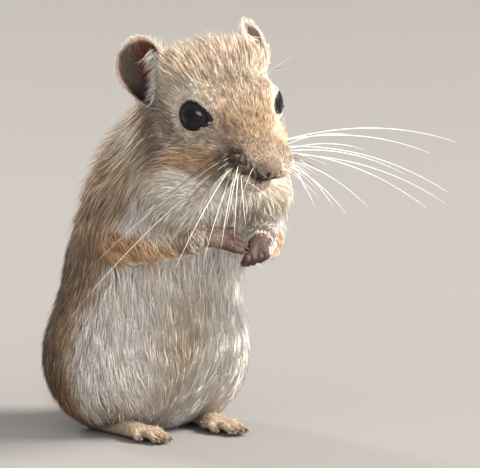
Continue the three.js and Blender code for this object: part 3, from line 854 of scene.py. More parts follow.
def forepaw_field(s):
    arm = ARMS[s]
    spread = unit(arm["spread"])
    line = [mix(arm["wrist"], arm["palm"], -0.4), arm["wrist"], arm["palm"], arm["knuckles"]]
    widths = (0.2, 0.3, 0.9, 1.4)
    palm = blend(
        1.3,
        *(
            chain([q + spread * side * w for q, w in zip(line, widths)], [1.7, 1.6, 1.45, 1.15])
            for side in BOTH
        ),
    )
    digits = [
        blend(
            0.25,
            chain([root, bend, mix(bend, tip, 0.5), tip], [0.74, 0.7, 0.56, 0.56]),
            knob(bend, 0.86, 0.86, 0.86),
            knob(mix(bend, tip, 0.55), 0.7, 0.7, 0.7),
            knob(tip, 0.72, 0.72, 0.72),
        )
        for root, bend, tip in fingers(arm)
    ]
    thumb = arm["palm"] + unit(arm["tips"] - arm["knuckles"]) * 1.3 - spread * 1.7
    return blend(0.3, palm, knob(thumb, 0.75, 0.75, 0.75), *digits)


def toes(s):
    """How far each toe is off the foot's middle, and its root, knuckle and tip."""
    for toe, reach in enumerate(TOE_REACHES):
        across = (toe - 2) * TOE_PITCH
        set_back = 2.2 if toe in (0, 4) else 0
        root = vec(s * 10 + across * 0.9, -14 + set_back, 1.4)
        knuckle = root + vec(across * 0.12, -reach * 0.55, 0.55)
        yield across, root, knuckle, root + vec(across * 0.28, -reach, -0.25)


def hind_foot_field(s):
    heel, ball = vec(s * 11.5, 4.9, 2.2), vec(s * 10, -14.5, 1.45)
    middle = mix(heel, ball, 0.5)
    edges = [[heel + vec(side * 0.3, 0, 0), middle, ball + vec(side * 1.7, 0, 0)] for side in BOTH]
    sole = blend(2, *(chain(edge, [1.9, 1.9, 1.4]) for edge in edges))
    digits = [
        blend(
            0.25,
            chain([root, knuckle, tip], [0.95, 0.8, 0.66]),
            knob(knuckle, 0.9, 1.0, 0.88),
            knob(tip + vec(0, 0, -0.1), 0.78, 0.95, 0.7),
        )
        for _, root, knuckle, tip in toes(s)
    ]
    flesh = blend(0.4, sole, *digits)
    return lambda p: np.maximum(flesh(p), LOWEST_FOOT - p[..., 2])


def forepaw_colour(p, s):
    arm = ARMS[s]
    along = (p - arm["palm"]) @ unit(arm["knuckles"] - arm["palm"])
    shade = mix(PAW_GREY, PAW_DARK, ramp(along, *((0.5, 3.5) if s < 0 else (-3.5, 0.5)))[:, None])
    return shade * (1 + 0.14 * fine_noise(p * 3))[:, None]


def hind_foot_colour(p):
    shade = mix(FOOT_PALE, PAW_DARK, ramp(-p[:, 2], -1.3, -0.4)[:, None] * 0.7)
    return mix(shade, PAW_DARK, (ramp(-p[:, 1], 19, 22) * 0.4)[:, None])


# The skin, in one mesh: finer about the eyes and the muzzle

SKIN_STEP = 0.68
LID_DARK, NOSE_SKIN, HOLLOW_SHADE = vec(0.07, 0.05, 0.045), vec(0.42, 0.34, 0.30), vec(0.16, 0.09, 0.08)
skin_points, skin_quads = surface(plain_skin, vec(-30, -58, -1), vec(74, 108, 94), SKIN_STEP)
skin_points = settle(plain_skin, even_out(skin_points, skin_quads))
once = [(EYES[-1], 8.5), (EYES[1], 8.5), (on_head(0, -13, -7.5), 9.5)]
twice = [(EYES[s] + EYE_AXES[s] * 2, 4.8) for s in BOTH] + [(NOSE_POINT, 5.4)]
skin_points, skin_faces = refined(skin_points, skin_quads.tolist(), once)
skin_points, skin_faces = refined(skin_points, skin_faces, twice)
close = np.any([length_of(skin_points - centre) < radius + 2 for centre, radius in once], 0)
skin_points[close] = settle(detailed_skin, skin_points[close], steps=5, most=0.35)
skin_groups = grouped(skin_faces)


def skin_colour_and_shade(p):
    """The coat's colours, darker on the skin under the hair (partly the grey undercoat, partly painted
    shade among the tufts), with the bare rims of the lids and the nose, and painted shade in the hollows of
    the nose and mouth.
    """
    shade = markings_and_painted_light(p)[0]
    # Painted shade: the skin under the hair is darker, partly standing for the grey undercoat
    shade = shade * mix(0.62, 0.86, ramp(shade.mean(-1), 0.7, 0.9))[:, None]
    shade = mix(shade, LID_DARK, (1 - ramp(past_lids(p), 0.35, 0.7))[:, None])
    near = length_of(p - NOSE_POINT) < 8
    h = in_head(p[near])
    tip = ramp(-h[:, 1], 17.2, 18.8) * (1 - ramp(length_of(h[:, [0, 2]] - vec(0, -6.2)), 1.7, 2.6))
    shade[near] = mix(shade[near], NOSE_SKIN, tip[:, None])
    # Painted shade in the nostrils, the mouth line and the groove under the nose
    hole = np.min([hollow(p[near]) for hollow in HOLLOWS], 0)
    shade[near] = mix(shade[near], HOLLOW_SHADE, (1 - ramp(hole, 0.0, 0.3))[:, None])
    return shade


parts = [(skin_points, skin_groups, skin_colour_and_shade(skin_points))]
paw_shapes = {}
for s in BOTH:
    corners = np.array([ARMS[s][k] for k in ("wrist", "palm", "knuckles", "tips")])
    foot_low, foot_high = vec(s * 10.5 - 7, -26, -0.5), vec(s * 10.5 + 7, 10, 6)
    paw_shapes[s] = [
        (forepaw_field(s), corners.min(0) - 4, corners.max(0) + 4, 0.18),
        (hind_foot_field(s), foot_low, foot_high, 0.3),
    ]
    colours_at = (lambda p: forepaw_colour(p, s), hind_foot_colour)
    for (field, low, high, step), colour_at in zip(paw_shapes[s], colours_at):
        p, quads = surface(field, low, high, step)
        p = settle(field, even_out(p, quads))
        parts.append((p, quads, colour_at(p)))
points, faces, colours = joined(parts)
skin = mesh_object("skin", points, faces)
paint(skin, colours)


# The way the hair lies, as a direction along the skin

LIE_FROM = on_head(0, -27, -9)
# Where the hair of the two sides meets, low on the belly
BELLY_MEETS = -4.0


def lie(p, normal):
    px, py, pz = xyz(p)
    under_head = ramp(-in_head(p)[..., 2], 5, 14) * 0.7
    back = unit(p - LIE_FROM) + HEAD @ vec(0, 0, -1) * under_head[..., None]
    parting = 2.2 * np.exp(-np.maximum(past_lids(p), 0) / 0.9)
    for s in BOTH:
        off = p - EYES[s]
        back = back + unit(off) * (parting * (length_of(off) < EYE_REGION))[..., None]
    front = ramp(-py, 6, 16)
    inwards = -np.tanh((px - BELLY_MEETS) / 5) * 0.5 * front * ramp(-pz, -38, -6)
    inwards = inwards + np.sign(px) * 0.22 * front * ramp(pz, 46, 56)
    backwards = -0.22 * ramp(np.abs(px), 8, 18) * ramp(-pz, -30, -5) + 0.12 * ramp(py, 4, 14)
    down = np.stack([inwards, backwards, np.full(px.shape, -1.0)], -1)
    way = mix(down, back, headness(p)[..., None])
    for s in BOTH:
        arm = ARMS[s]
        on_arm = 1 - ramp(chain([arm["elbow"], arm["wrist"]], [4.8, 2.8])(p), -0.8, 1.6)
        way = mix(way, unit(arm["wrist"] - arm["elbow"]) * 0.7 + vec(0, 0, -0.75), on_arm[..., None])
    rear = py > 14
    if rear.any():
        q = p[rear]
        u = tail_share(q)
        along = unit(tail_point(np.minimum(u + 0.03, 1)) - tail_point(u - 0.03))
        on_tail = 1 - ramp(chain(TAIL_LINE, tail_radius(TAIL_U))(q), 0, 3)
        way[rear] = mix(way[rear], along, on_tail[..., None])
    return unit(way - normal * (way * normal).sum(-1)[..., None])


# The coat: thin closed tufts, which walk along the skin at a set height

HAIR_ALONG_HEAD = [-19, -16, -10, -3, 5, 12, 20]
HAIR_LENGTH_HEAD = [0.5, 0.9, 1.8, 2.9, 4.0, 5.0, 6.0]
HAIR_ALONG_TAIL, HAIR_LENGTH_TAIL = [0, 0.2, 0.6, 0.75, 0.9, 1], [4, 2.4, 2.6, 6, 8, 5]
# Loose hairs stand out here, below and behind the right ear
SIDE_TUFT = vec(-16, 23.5, -15)


def bellyness(p):
    return ramp(-p[..., 1], 4, 14) * (1 - ramp(p[..., 2], 40, 47))


def hair_length(p):
    _, py, pz = xyz(p)
    _, y, z = xyz(in_head(p))
    on_the_head = np.interp(y, HAIR_ALONG_HEAD, HAIR_LENGTH_HEAD)
    on_the_head = on_the_head * mix(1, 2.0, ramp(-z, 6, 15) * ramp(y, -14, -6))
    on_the_head = on_the_head * mix(0.4, 1, ramp(eye_distance(p), 4.5, 8.5))
    below = mix(6.6, 8.5, ramp(-py, 0, 12))
    below = below * mix(1, 0.72, ramp(pz, 46, 60) * ramp(py, -16, -8))
    below = mix(below, 12, bellyness(p))
    for s in BOTH:
        below = mix(below, 6, 1 - ramp(sleeves[s](p), -2, 1))
        below = below * mix(1, 0.38, ramp(-length_of(p - ARMS[s]["wrist"]), -11, -1))
    on_tail = np.interp(tail_share(p), HAIR_ALONG_TAIL, HAIR_LENGTH_TAIL)
    below = mix(below, on_tail, tailness(p, (16, 24), (8, 12)))
    return mix(below, on_the_head, headness(p))


def hair_density(p):
    """Tufts for each square mm."""
    on_the_head = np.interp(in_head(p)[..., 1], [-19, -12, -4, 6, 16], [34, 28, 19, 13, 9])
    below = 6.6 + 1.5 * ramp(-p[..., 1], 4, 14)
    for s in BOTH:
        below = mix(below, 10, 1 - ramp(sleeves[s](p), -1, 1.5))
    below = mix(below, 6.5, tailness(p, (18, 24), (9, 12)))
    return mix(below, on_the_head, headness(p)) * np.where(p[..., 2] < 0.6, 0.15, 1)


def fluff(p):
    """Where hairs stand out of the coat: between the ears, on the nape, cheeks and chest."""
    _, py, pz = xyz(p)
    h = in_head(p)
    x, y, z = xyz(h)
    crown = ramp(z, 0, 6) * ramp(y, 0, 10)
    nape = ramp(y, 8, 16) * (1 - ramp(py, 4, 14))
    cheek = ramp(np.abs(x), 8, 14) * ramp(-z, -2, 6) * 0.7
    chest = ramp(-py, 16, 28) * (1 - ramp(np.abs(pz - 52), 5, 12))
    stands = [
        crown * 0.6,
        nape * ramp(pz, 44, 56) * 0.5,
        cheek * headness(p) * 0.5,
        chest * 0.5,
        bump_at(to_the_left(h), BEHIND_EAR, 12) * 1.6,
        bump_at(h, SIDE_TUFT, 10) * 2,
    ]
    return np.clip(np.max(stands, 0), 0.05, 1)


def bald(p):
    """True inside the lids, on the nose's bare tip and in the hollows of the nose and mouth."""
    out = past_lids(p) < 0.35
    near = length_of(p - NOSE_POINT) < 8
    h = in_head(p[near])
    out[near] |= (h[:, 1] < -18.6) & (length_of(h[:, [0, 2]] - vec(0, -7.1)) < 0.8)
    out[near] |= np.min([hollow(p[near]) for hollow in HOLLOWS], 0) < 0.08
    return out


def scatter(points, triangles, density):
    """Roots spread over the triangles at a density, and the normals there."""
    a, b, c = (points[triangles[:, i]] for i in range(3))
    across = np.cross(b - a, c - a)
    share = np.cumsum(length_of(across) / 2 * density((a + b + c) / 3))
    count = int(share[-1])
    at = np.searchsorted(share, (np.arange(count) + chance.random(count)) * share[-1] / count)
    at = np.minimum(at, len(triangles) - 1)
    s, t = chance.random(count), chance.random(count)
    flip = s + t > 1
    s, t = np.where(flip, 1 - s, s), np.where(flip, 1 - t, t)
    roots = a[at] + (b - a)[at] * s[:, None] + (c - a)[at] * t[:, None]
    return roots, unit(across[at])


def clumped(lines, share, every):
    """Pulls each tuft's end towards the nearest leading tuft's, and gives how far apart the two are."""
    roots = lines[:, 0]
    leaders = chance.permutation(len(roots))[: max(len(roots) // every, 1)]
    tree = kdtree.KDTree(len(leaders))
    for i, leader in enumerate(leaders):
        tree.insert(roots[leader], i)
    tree.balance()
    nearest = leaders[[tree.find(root)[1] for root in roots]]
    off = roots - roots[nearest]
    steps = np.linspace(0, 1, lines.shape[1]) ** 1.3
    pulled = mix(lines, lines[nearest] + off[:, None] * 0.25, (share[:, None] * steps)[..., None])
    apart = length_of(off)
    return pulled, apart / max(apart.mean(), 1e-6)


# No hair is lower than this, so that none goes through the floor
LOWEST_HAIR = 0.2


def walk(roots, normals, lengths, heights, steps, turn):
    """Lines that start at the roots and follow the lie of the coat, rising to their height."""
    lines = [roots]
    at, n = roots, normals
    # The brush at the tail's end is straight, so its hair hardly sinks again
    on_brush = (tail_share(roots) > 0.78) & (roots[:, 1] > 40)
    lowest = np.where(on_brush, -0.15, -2.0)
    for step in range(steps):
        way = lie(at, n)
        side = np.cross(n, way)
        way = unit(way + side * (turn * (1 + 0.3 * step))[:, None])
        at = at + way * (lengths / steps)[:, None]
        f, g = slope(plain_skin, at)
        n = unit(g)
        wanted = heights * ((step + 1) / steps) ** 0.8
        at = at + n * np.clip(wanted - f, lowest, 3.2)[:, None]
        lines.append(at)
    lines = np.stack(lines, 1)
    lines[..., 2] = np.maximum(lines[..., 2], LOWEST_HAIR)
    return lines


UV_PATCH = 0.003


def tuft_mesh(lines, normals, half_width, shades, uv_at):
    """Closed three-sided tufts along lines, with a colour for each ring and a small patch of the map."""
    count, rings = lines.shape[:2]
    along = np.gradient(lines, axis=1)
    side = unit(np.cross(along, normals[:, None]))
    top = unit(np.cross(side, along))
    taper = np.interp(np.linspace(0, 1, rings)[:-1], [0, 0.3, 0.7, 1], [0.7, 1, 0.75, 0.3])
    wide = half_width[:, None, None] * np.concatenate([taper, [0]])[:, None]
    body = [lines + side * wide, lines - side * wide, lines + top * wide * 0.9]
    ring_points = np.stack([b[:, :-1] for b in body], 2).reshape(count, (rings - 1) * 3, 3)
    points = np.concatenate([ring_points, lines[:, -1:]], 1)
    each = points.shape[1]
    quads, triangles = [], [[0, 1, 2]]
    for ring in range(0, (rings - 2) * 3, 3):
        for i, j in ((0, 1), (1, 2), (2, 0)):
            quads.append([ring + j, ring + i, ring + 3 + i, ring + 3 + j])
    last = (rings - 2) * 3
    triangles += [[last + j, last + i, each - 1] for i, j in ((0, 1), (1, 2), (2, 0))]
    start = (np.arange(count) * each)[:, None, None]
    quads = (np.array(quads).reshape(1, -1, 4) + start).reshape(-1, 4)
    triangles = (np.array(triangles)[None] + start).reshape(-1, 3)
    colours = np.concatenate([np.repeat(shades[:, :-1], 3, 1), shades[:, -1:]], 1).reshape(-1, 3)
    u = np.concatenate([np.tile([0, 1, 0.5], rings - 1), [0.5]])
    v = np.concatenate([np.repeat(np.linspace(0, 1, rings)[:-1], 3), [1]])
    uv = uv_at[:, None] + np.stack([u, v], -1) * UV_PATCH
    return points.reshape(-1, 3), [quads, triangles], colours, uv.reshape(-1, 2)


def dress(made, look, slot, *replaced):
    """Gives a piece its material and its body, and hides the nodes that it replaces. The slot is not used.
    """
    made.data.materials.append(look)
    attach(made, "root")
    if replaced:
        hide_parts(*replaced)


def short_hairs(root, normal, way, size, bend, longest, shade, spread, tones):
    """Bent lines from just under the skin, and their shades, a little different on each hair."""
    shade = shade * (1 + chance.normal(0, spread, len(root)))[:, None]
    lines = root[:, None] + way[:, None] * size - normal[:, None] * bend * size**2 / longest
    return lines, np.stack([shade * tone for tone in tones], 1)


def add_tufts(name, lines, normals, half_width, shades, uv_at, slot="coat"):
    shades = np.clip(shades, 0.02, 0.98)
    points, faces, colours, uv = tuft_mesh(lines, normals, half_width, shades, uv_at)
    made = mesh_object(name, points, faces)
    paint(made, colours)
    layer = made.data.uv_layers.new(name="OFBake")
    corner = np.zeros(len(made.data.loops), np.int32)
    made.data.loops.foreach_get("vertex_index", corner)
    layer.data.foreach_set("uv", uv[corner].astype(np.float32).ravel())
    dress(made, coat_look, slot)


def tuft_shades(p, rings, apart, stray):
    """Colours from root to tip: greyer and darker at the root, partly the grey undercoat and partly painted
    shade; many tips dark; painted shade between the locks; and loose hairs brighter as a painted highlight.
    """
    colour, ticks = markings_and_painted_light(p)
    bright = 1 + chance.normal(0, 1, len(p)) * mix(0.07, 0.11, headness(p)) + 0.07 * lock_noise(p)
    pale = ramp(colour.mean(-1), 0.7, 0.9)
    # Painted shade: tufts far from their lock's leader are darker. Painted highlight: loose hairs are
    # brighter and never have dark tips
    bright = bright * mix(1, mix(0.78, 0.93, pale), ramp(apart, 0.9, 2.0)) * np.where(stray, 1.12, 1)
    warm = chance.normal(0, 0.015, len(p))
    colour = colour * bright[:, None] + warm[:, None] * vec(1, 0.2, -0.9)
    grey = colour.mean(-1, keepdims=True) * vec(0.97, 0.94, 0.92)
    # The root is greyer and darker: partly the grey undercoat, partly painted shade deep in the coat
    root = mix(colour, grey, mix(0.45, 0.2, pale)[:, None]) * mix(0.6, 0.85, pale)[:, None]
    dark = (chance.random(len(p)) < ticks * 0.75) & ~stray
    tip = np.where(dark[:, None], mix(colour, DARK, 0.7), colour * 1.1)
    stops = np.interp(np.linspace(0, 1, rings), [0, 0.35, 0.75, 1], [0, 1, 1.1, 2])[:, None]
    lower = mix(root[:, None], colour[:, None], np.minimum(stops, 1))
    return mix(lower, tip[:, None], np.clip(stops - 1, 0, 1))


def unwrapped(p, kind):
    """Each root's place on an unwrap of the skin: round the head, round the trunk or along the tail."""
    if kind == "head":
        h = in_head(p)
        turn, along = np.arctan2(h[:, 0], h[:, 2] + 5), (h[:, 1] + 22) / 60
    elif kind == "body":
        turn, along = np.arctan2(p[:, 0], -(p[:, 1] + 4)), p[:, 2] / 100
    else:
        u = tail_share(p)
        off = p - tail_point(u)
        turn, along = np.arctan2(off[:, 2], off[:, 0]), u
    return np.clip(np.stack([turn / (2 * math.pi) + 0.5, along], -1), 0.001, 0.996)


# The skin takes the place of the flesh; eyes and ears have pieces of their own

FLESH_OF_A_SIDE = "whisker_pad upper_arm forearm forepaw thigh hind_foot".split()
FLESH = "torso neck head tail_root tail_middle tail_brush".split()
FLESH += [f"{part}_{side}" for side in SIDES for part in FLESH_OF_A_SIDE]
skin_look = material("skin_look", (0.5, 0.75), scale=1500, grain=(3500, 0.00012), Specular_IOR_Level=0.3)
dress(skin, skin_look, "coat", *FLESH)


MERGE_DISTANCE = 1e-6


def own_piece(name, points, faces, colours, look, slot, *replaced):
    """A piece with the points that meet merged and the faces turned outwards."""
    made = mesh_object(name, points, faces)
    bm = bmesh.new()
    bm.from_mesh(made.data)
    bmesh.ops.remove_doubles(bm, verts=bm.verts, dist=MERGE_DISTANCE)
    bmesh.ops.recalc_face_normals(bm, faces=bm.faces)
    bm.to_mesh(made.data)
    bm.free()
    if colours is not None:
        paint(made, colours)
    dress(made, look, slot, *replaced)


# Eyes: a dark ball with a brown iris round its pupil, swelling a little at the front

EYE_STOPS = [
    (0.0, (0.002, 0.002, 0.003)),
    (0.4, (0.002, 0.002, 0.003)),
    (0.5, (0.007, 0.005, 0.004)),
    (0.8, (0.006, 0.004, 0.004)),
    (1.0, (0.003, 0.002, 0.002)),
]


def eye_look(side, pupil):
    look = Look(f"eye_look_{side}", Coat_Weight=0.05, Coat_Roughness=0.02, Specular_IOR_Level=0.26)
    place = look.add("TexCoord")
    off = look.add("VectorMath", "DISTANCE")
    off.inputs[1].default_value = tuple(pupil * 0.001)
    look.join(place.outputs["Object"], off, 0)
    noise = look.noise(2500, 2)
    wobble = look.add("Math", "MULTIPLY_ADD")
    wobble.inputs[1].default_value = 0.0009
    look.join(noise, wobble, 0)
    look.join(off.outputs["Value"], wobble, 2)
    share = look.add("MapRange", From_Min=0, From_Max=0.0045)
    look.join(wobble.outputs[0], share, "Value")
    shades = look.add("ValToRGB")
    elements = shades.color_ramp.elements
    while len(elements) < len(EYE_STOPS):
        elements.new(0.5)
    for element, (at, colour) in zip(elements, EYE_STOPS):
        element.position = at
        element.color = (*colour, 1)
    look.join(share.outputs[0], shades, "Fac")
    look.join(shades.outputs["Color"], look.shader, "Base Color")
    look.roughen(noise, 0.05, 0.1)
    return look.material


def rings_of_quads(count, around):
    """The quads between rings of points, whose last point meets the first."""
    j = np.arange(count * around)
    following = np.where(j % around == around - 1, j + 1 - around, j + 1)
    return np.stack([j, j + around, following + around, following], -1)


EYE_RINGS, EYE_AROUND = 40, 64
CORNEA_RISE, CORNEA_WIDTH = 0.16, 0.75


def eye(side, s):
    axis, front, up = lid_frame(s)
    polar = np.linspace(0, math.pi, EYE_RINGS + 1)[:, None, None]
    angle = np.linspace(0, 2 * math.pi, EYE_AROUND, endpoint=False)[:, None]
    out = axis * np.cos(polar) + (front * np.cos(angle) + up * np.sin(angle)) * np.sin(polar)
    radius = EYE_RADIUS - 0.03 + CORNEA_RISE * np.exp(-((polar / CORNEA_WIDTH) ** 4))
    points = (EYES[s] + out * radius).reshape(-1, 3)
    look = eye_look(side, EYES[s] + axis * EYE_RADIUS)
    quads = rings_of_quads(EYE_RINGS, EYE_AROUND)
    own_piece(f"eyeball_{side}", points, quads, None, look, "eye", f"eye_{side}")


# Ears: a thin cupped leaf, rolled towards its root, with a soft rim

EAR_HEIGHT, EAR_WIDTH, EAR_THICKNESS = 15.5, 13, 0.85
EAR_INSIDE, EAR_GLOW, EAR_ROOT_SHADE = vec(0.25, 0.195, 0.165), vec(0.35, 0.11, 0.05), vec(0.14, 0.08, 0.065)
EAR_RIM, EAR_BACK = vec(0.72, 0.63, 0.57), vec(0.68, 0.57, 0.47)


def ear_frame(s):
    up = head_direction(s * 0.19, 0.43, 0.88)
    opening = head_direction(s * 0.63, -0.77, 0.1)
    opening = unit(opening - up * (opening @ up))
    return on_head(s * 11.4, 16.1, -6.3), up, opening, np.cross(up, opening) * -s


def ear_place(s, x, y, face):
    """A point on the ear from square coordinates -1 to 1, and face 0.5 inside the cup or -0.5 outside."""
    root, up, opening, forward = ear_frame(s)
    a = x * np.sqrt(1 - y * y / 2)
    high = (y * np.sqrt(1 - x * x / 2) + 1) / 2
    rim = np.maximum(np.abs(x), np.abs(y))
    curl = mix(1.75, 0.8, ramp(high, 0, 0.75))
    bend = a * curl
    radius = EAR_WIDTH * mix(0.62, 1, ramp(high, 0, 0.6)) / 2 / curl
    thick = mix(EAR_THICKNESS, 0.5, rim**3) + 0.22 * np.exp(-(((rim - 0.93) / 0.06) ** 2))
    thick = thick * np.sqrt(np.clip(1.03 - rim**12, 0.02, 1)) * -face
    ridges = 0.22 * np.sin(high * 16 + a * 2) * np.exp(-((a / 0.45) ** 2))
    ridges = ridges * ramp(-rim, -0.9, -0.5) * (face > 0)
    across = forward * ((radius + thick) * np.sin(bend))[..., None]
    depth = (radius + thick) * (1 - np.cos(bend)) - thick + ridges - 1.6 * high * high
    return root + across + opening * depth[..., None] + up * (high * EAR_HEIGHT)[..., None]


def ear(side, s):
    n = 41
    line = np.linspace(-1, 1, n)
    x, y = (g.ravel() for g in np.meshgrid(line, line, indexing="ij"))
    index = np.arange(n * n).reshape(n, n)
    quads = np.stack([index[:-1, :-1], index[1:, :-1], index[1:, 1:], index[:-1, 1:]], -1).reshape(-1, 4)
    edge = np.concatenate([index[:-1, 0], index[-1, :-1], index[:0:-1, -1], index[0, :0:-1]])
    strip = np.stack([edge, np.roll(edge, -1), np.roll(edge, -1) + n * n, edge + n * n], -1)
    quads = np.concatenate([quads, quads[:, ::-1] + n * n, strip[:, ::-1]])
    points = np.concatenate([ear_place(s, x, y, 0.5), ear_place(s, x, y, -0.5)])
    rim = np.maximum(np.abs(x), np.abs(y))[:, None]
    # Painted light: a reddish glow of light shining through the thin ear, on its reddish inner skin
    glow = 1 - ramp(np.hypot((x - 0.22) / 0.42, ((y + 1) / 2 - 0.5) / 0.52), 0.35, 1.15)[:, None]
    inside = mix(mix(EAR_INSIDE, EAR_RIM, ramp(rim, 0.8, 1)), EAR_GLOW, glow)
    # Painted shade: the inside of the cup is dark towards its root, where it goes into the head
    inside = mix(inside, EAR_ROOT_SHADE, 1 - ramp(y, -0.75, -0.1)[:, None])
    colours = np.concatenate([inside, mix(EAR_BACK, EAR_RIM, ramp(rim, 0.7, 1))])
    own_piece(f"ear_skin_{side}", points, quads, colours, ear_look, "ear_skin", f"ear_{side}")


# The hair of an ear: its count, where it grows across the ear, on which face, its length and its width
EAR_HAIR = {
    "back": (2100, (-1, 1), (-1, 1), -0.5, (0.8, 1.4), 0.055),
    "rim": (800, (0.9, 1), (0, 4), 0, (0.25, 0.6), 0.035),
    "inside": (380, (-1, 0.1), (-0.3, 1), 0.5, (0.6, 1.4), 0.03),
    "fringe": (230, (0.55, 1.0), (-0.8, 0.75), 0.5, (2.4, 5.6), 0.055),
    "brush": (300, (0.45, 1.0), (-0.8, 0.7), -0.5, (2.0, 3.8), 0.055),
}


def ear_hair(side, s):
    """Short hair on the back, a white rim, sparse hair inside and long pale hair along the front edge."""
    root, up, opening, forward = ear_frame(s)
    made = []
    for kind, (count, x_range, y_range, face, reach, width) in EAR_HAIR.items():
        x, y = chance.uniform(*x_range, count), chance.uniform(*y_range, count)
        face = np.full(count, face) if face else np.where(chance.random(count) < 0.5, 0.5, -0.5)
        if kind == "rim":
            edge, t = y.astype(int), y % 1 * 2 - 1
            ring, one = x, np.ones(count)
            x = np.choose(edge, [t, one, -t, -one]) * ring
            y = np.choose(edge, [-one, t, one, -t]) * ring
        at = ear_place(s, x, y, face)
        along_x = ear_place(s, x - 0.01 * np.sign(x), y, face) - at
        along_y = ear_place(s, x, y - 0.01 * np.sign(y), face) - at
        normal = unit(np.cross(along_x, along_y))
        normal = normal * np.sign((normal * opening).sum(-1) * face)[:, None]
        outwards = at - (root + up * EAR_HEIGHT * 0.35)
        outwards = unit(outwards - normal * (outwards * normal).sum(-1)[:, None])
        near_rim = ramp(np.maximum(np.abs(x), np.abs(y)), 0.6, 1)[:, None]
        way, shade = {
            "back": (outwards * 0.9 + normal * 0.12, mix(TAN, CREAM, near_rim * 0.8)),
            "rim": (outwards + normal * chance.uniform(0.1, 0.6, (count, 1)), WHITE + near_rim * 0),
            "inside": (outwards * 0.7 + up * 0.4 + normal * 0.3, mix(GREY * 0.75, WHITE * 0.85, near_rim)),
            "fringe": (forward * -0.6 - up * 0.5 + opening * 0.45 + normal * 0.15, WHITE + near_rim * 0),
            "brush": (up * 0.75 + outwards * 0.5 + normal * 0.25, mix(CREAM, WHITE, near_rim)),
        }[kind]
        way = unit(way + chance.normal(0, 0.17, at.shape))
        reach = chance.uniform(*reach, count)[:, None, None] * np.linspace(0, 1, 3)[:, None]
        under, tones = at - normal * 0.08, (0.72, 1, 1.06)
        lines, shades = short_hairs(under, normal, way, reach, 0.1, reach.max(), shade, 0.07, tones)
        place = np.stack([(x + 1) / 2.1, (y + 1) / 2.1], -1)
        made.append((lines, normal, np.full(count, width), shades, place))
    add_tufts(f"ear_hair_{side}", *(np.concatenate(group) for group in zip(*made)))


ear_look = material("ear_look", (0.45, 0.65), scale=700, grain=(2600, 0.0001), Specular_IOR_Level=0.12)
for side, s in SIDES.items():
    eye(side, s)
    ear(side, s)
    ear_hair(side, s)

# The coat over the skin

roots, normals = scatter(skin_points, np.concatenate([fans(g) for g in skin_groups]), hair_density)
keep = ~bald(roots)
roots, normals = roots[keep], normals[keep]
count = len(roots)
h = in_head(roots)
on_the_head = headness(roots) > 0.5
share_of_tail = tail_share(roots)
on_the_tail = (share_of_tail > 0.1) & (roots[:, 1] > 19) & (roots[:, 2] < 12)
stand = fluff(roots)
stray = chance.random(count) < 0.2 * stand + 0.35 * bump_at(h, SIDE_TUFT, 9)
depth = np.where(on_the_tail, mix(0.75, 3.0, ramp(share_of_tail, 0.6, 0.85)), coat_depth(roots))
depth = np.where(np.minimum(forearms[-1](roots), forearms[1](roots)) < 0, 1.2, depth)
lengths = hair_length(roots) * chance.uniform(0.75, 1.2, count) * np.where(stray, 1.25, 1)
heights = depth * chance.uniform(0.35, 1.0, count) + 0.05
heights = np.where(stray, depth + chance.random(count) * mix(0.5, 2.8, stand), heights)
turn = chance.normal(0, 0.13, count) + broad_noise(roots * 1.7 + 40) * 0.16 + lock_noise(roots + 9) * 0.12
width = mix(0.088, np.interp(h[:, 1], [-19, -10, 0, 15], [0.038, 0.046, 0.056, 0.072]), headness(roots))
width = np.where(on_the_tail, 0.08, width) * chance.uniform(0.8, 1.25, count)
width = width * np.where(stray, mix(0.8, 1.2, stand), 1)
clump = np.where(on_the_tail, 0.3, np.where(on_the_head, 0.3, 0.5)) * chance.uniform(0.5, 1.3, count)
clump = np.where(stray, 0.05, clump)
wide_clump = np.where(on_the_head | on_the_tail | stray, 0.05, mix(0.12, 0.2, bellyness(roots)))


# Each tuft is of two segments, and has ten triangles
SEGMENTS, MOST_TUFTS = 2, 19500


def grow(name, which, order, every):
    """The coat of one region, parted by order into pieces, with one leading tuft among so many."""
    which = np.flatnonzero(which)
    which = which[np.argsort(order[which], kind="stable")]
    pieces = math.ceil(len(which) / MOST_TUFTS)
    for i, part in enumerate(np.array_split(which, pieces)):
        start = roots[part] - normals[part] * 0.1
        lines = walk(start, normals[part], lengths[part], heights[part], SEGMENTS, turn[part])
        lines, wide_apart = clumped(lines, wide_clump[part], every * 6)
        lines, apart = clumped(lines, clump[part], every)
        apart = mix(apart, wide_apart, bellyness(roots[part]) * 0.2)
        lines[..., 2] = np.maximum(lines[..., 2], LOWEST_HAIR)
        shades = tuft_shades(roots[part], SEGMENTS + 1, apart, stray[part])
        uv_at = unwrapped(roots[part], name)
        numbered = f"coat_{name}_{i + 1}" if pieces > 1 else f"coat_{name}"
        add_tufts(numbered, lines, normals[part], width[part], shades, uv_at)


grow("head", on_the_head, h[:, 0], 9)
grow("body", ~on_the_head & ~on_the_tail, np.arctan2(roots[:, 0], -(roots[:, 1] + 4)), 12)
grow("tail", on_the_tail, roots[:, 1], 9)


# Short hair on the hands and feet

PAW_HAIR_STEP, PAW_HAIR_DENSITY, PAW_HAIR_WIDTH = 0.4, 9.0, 0.055


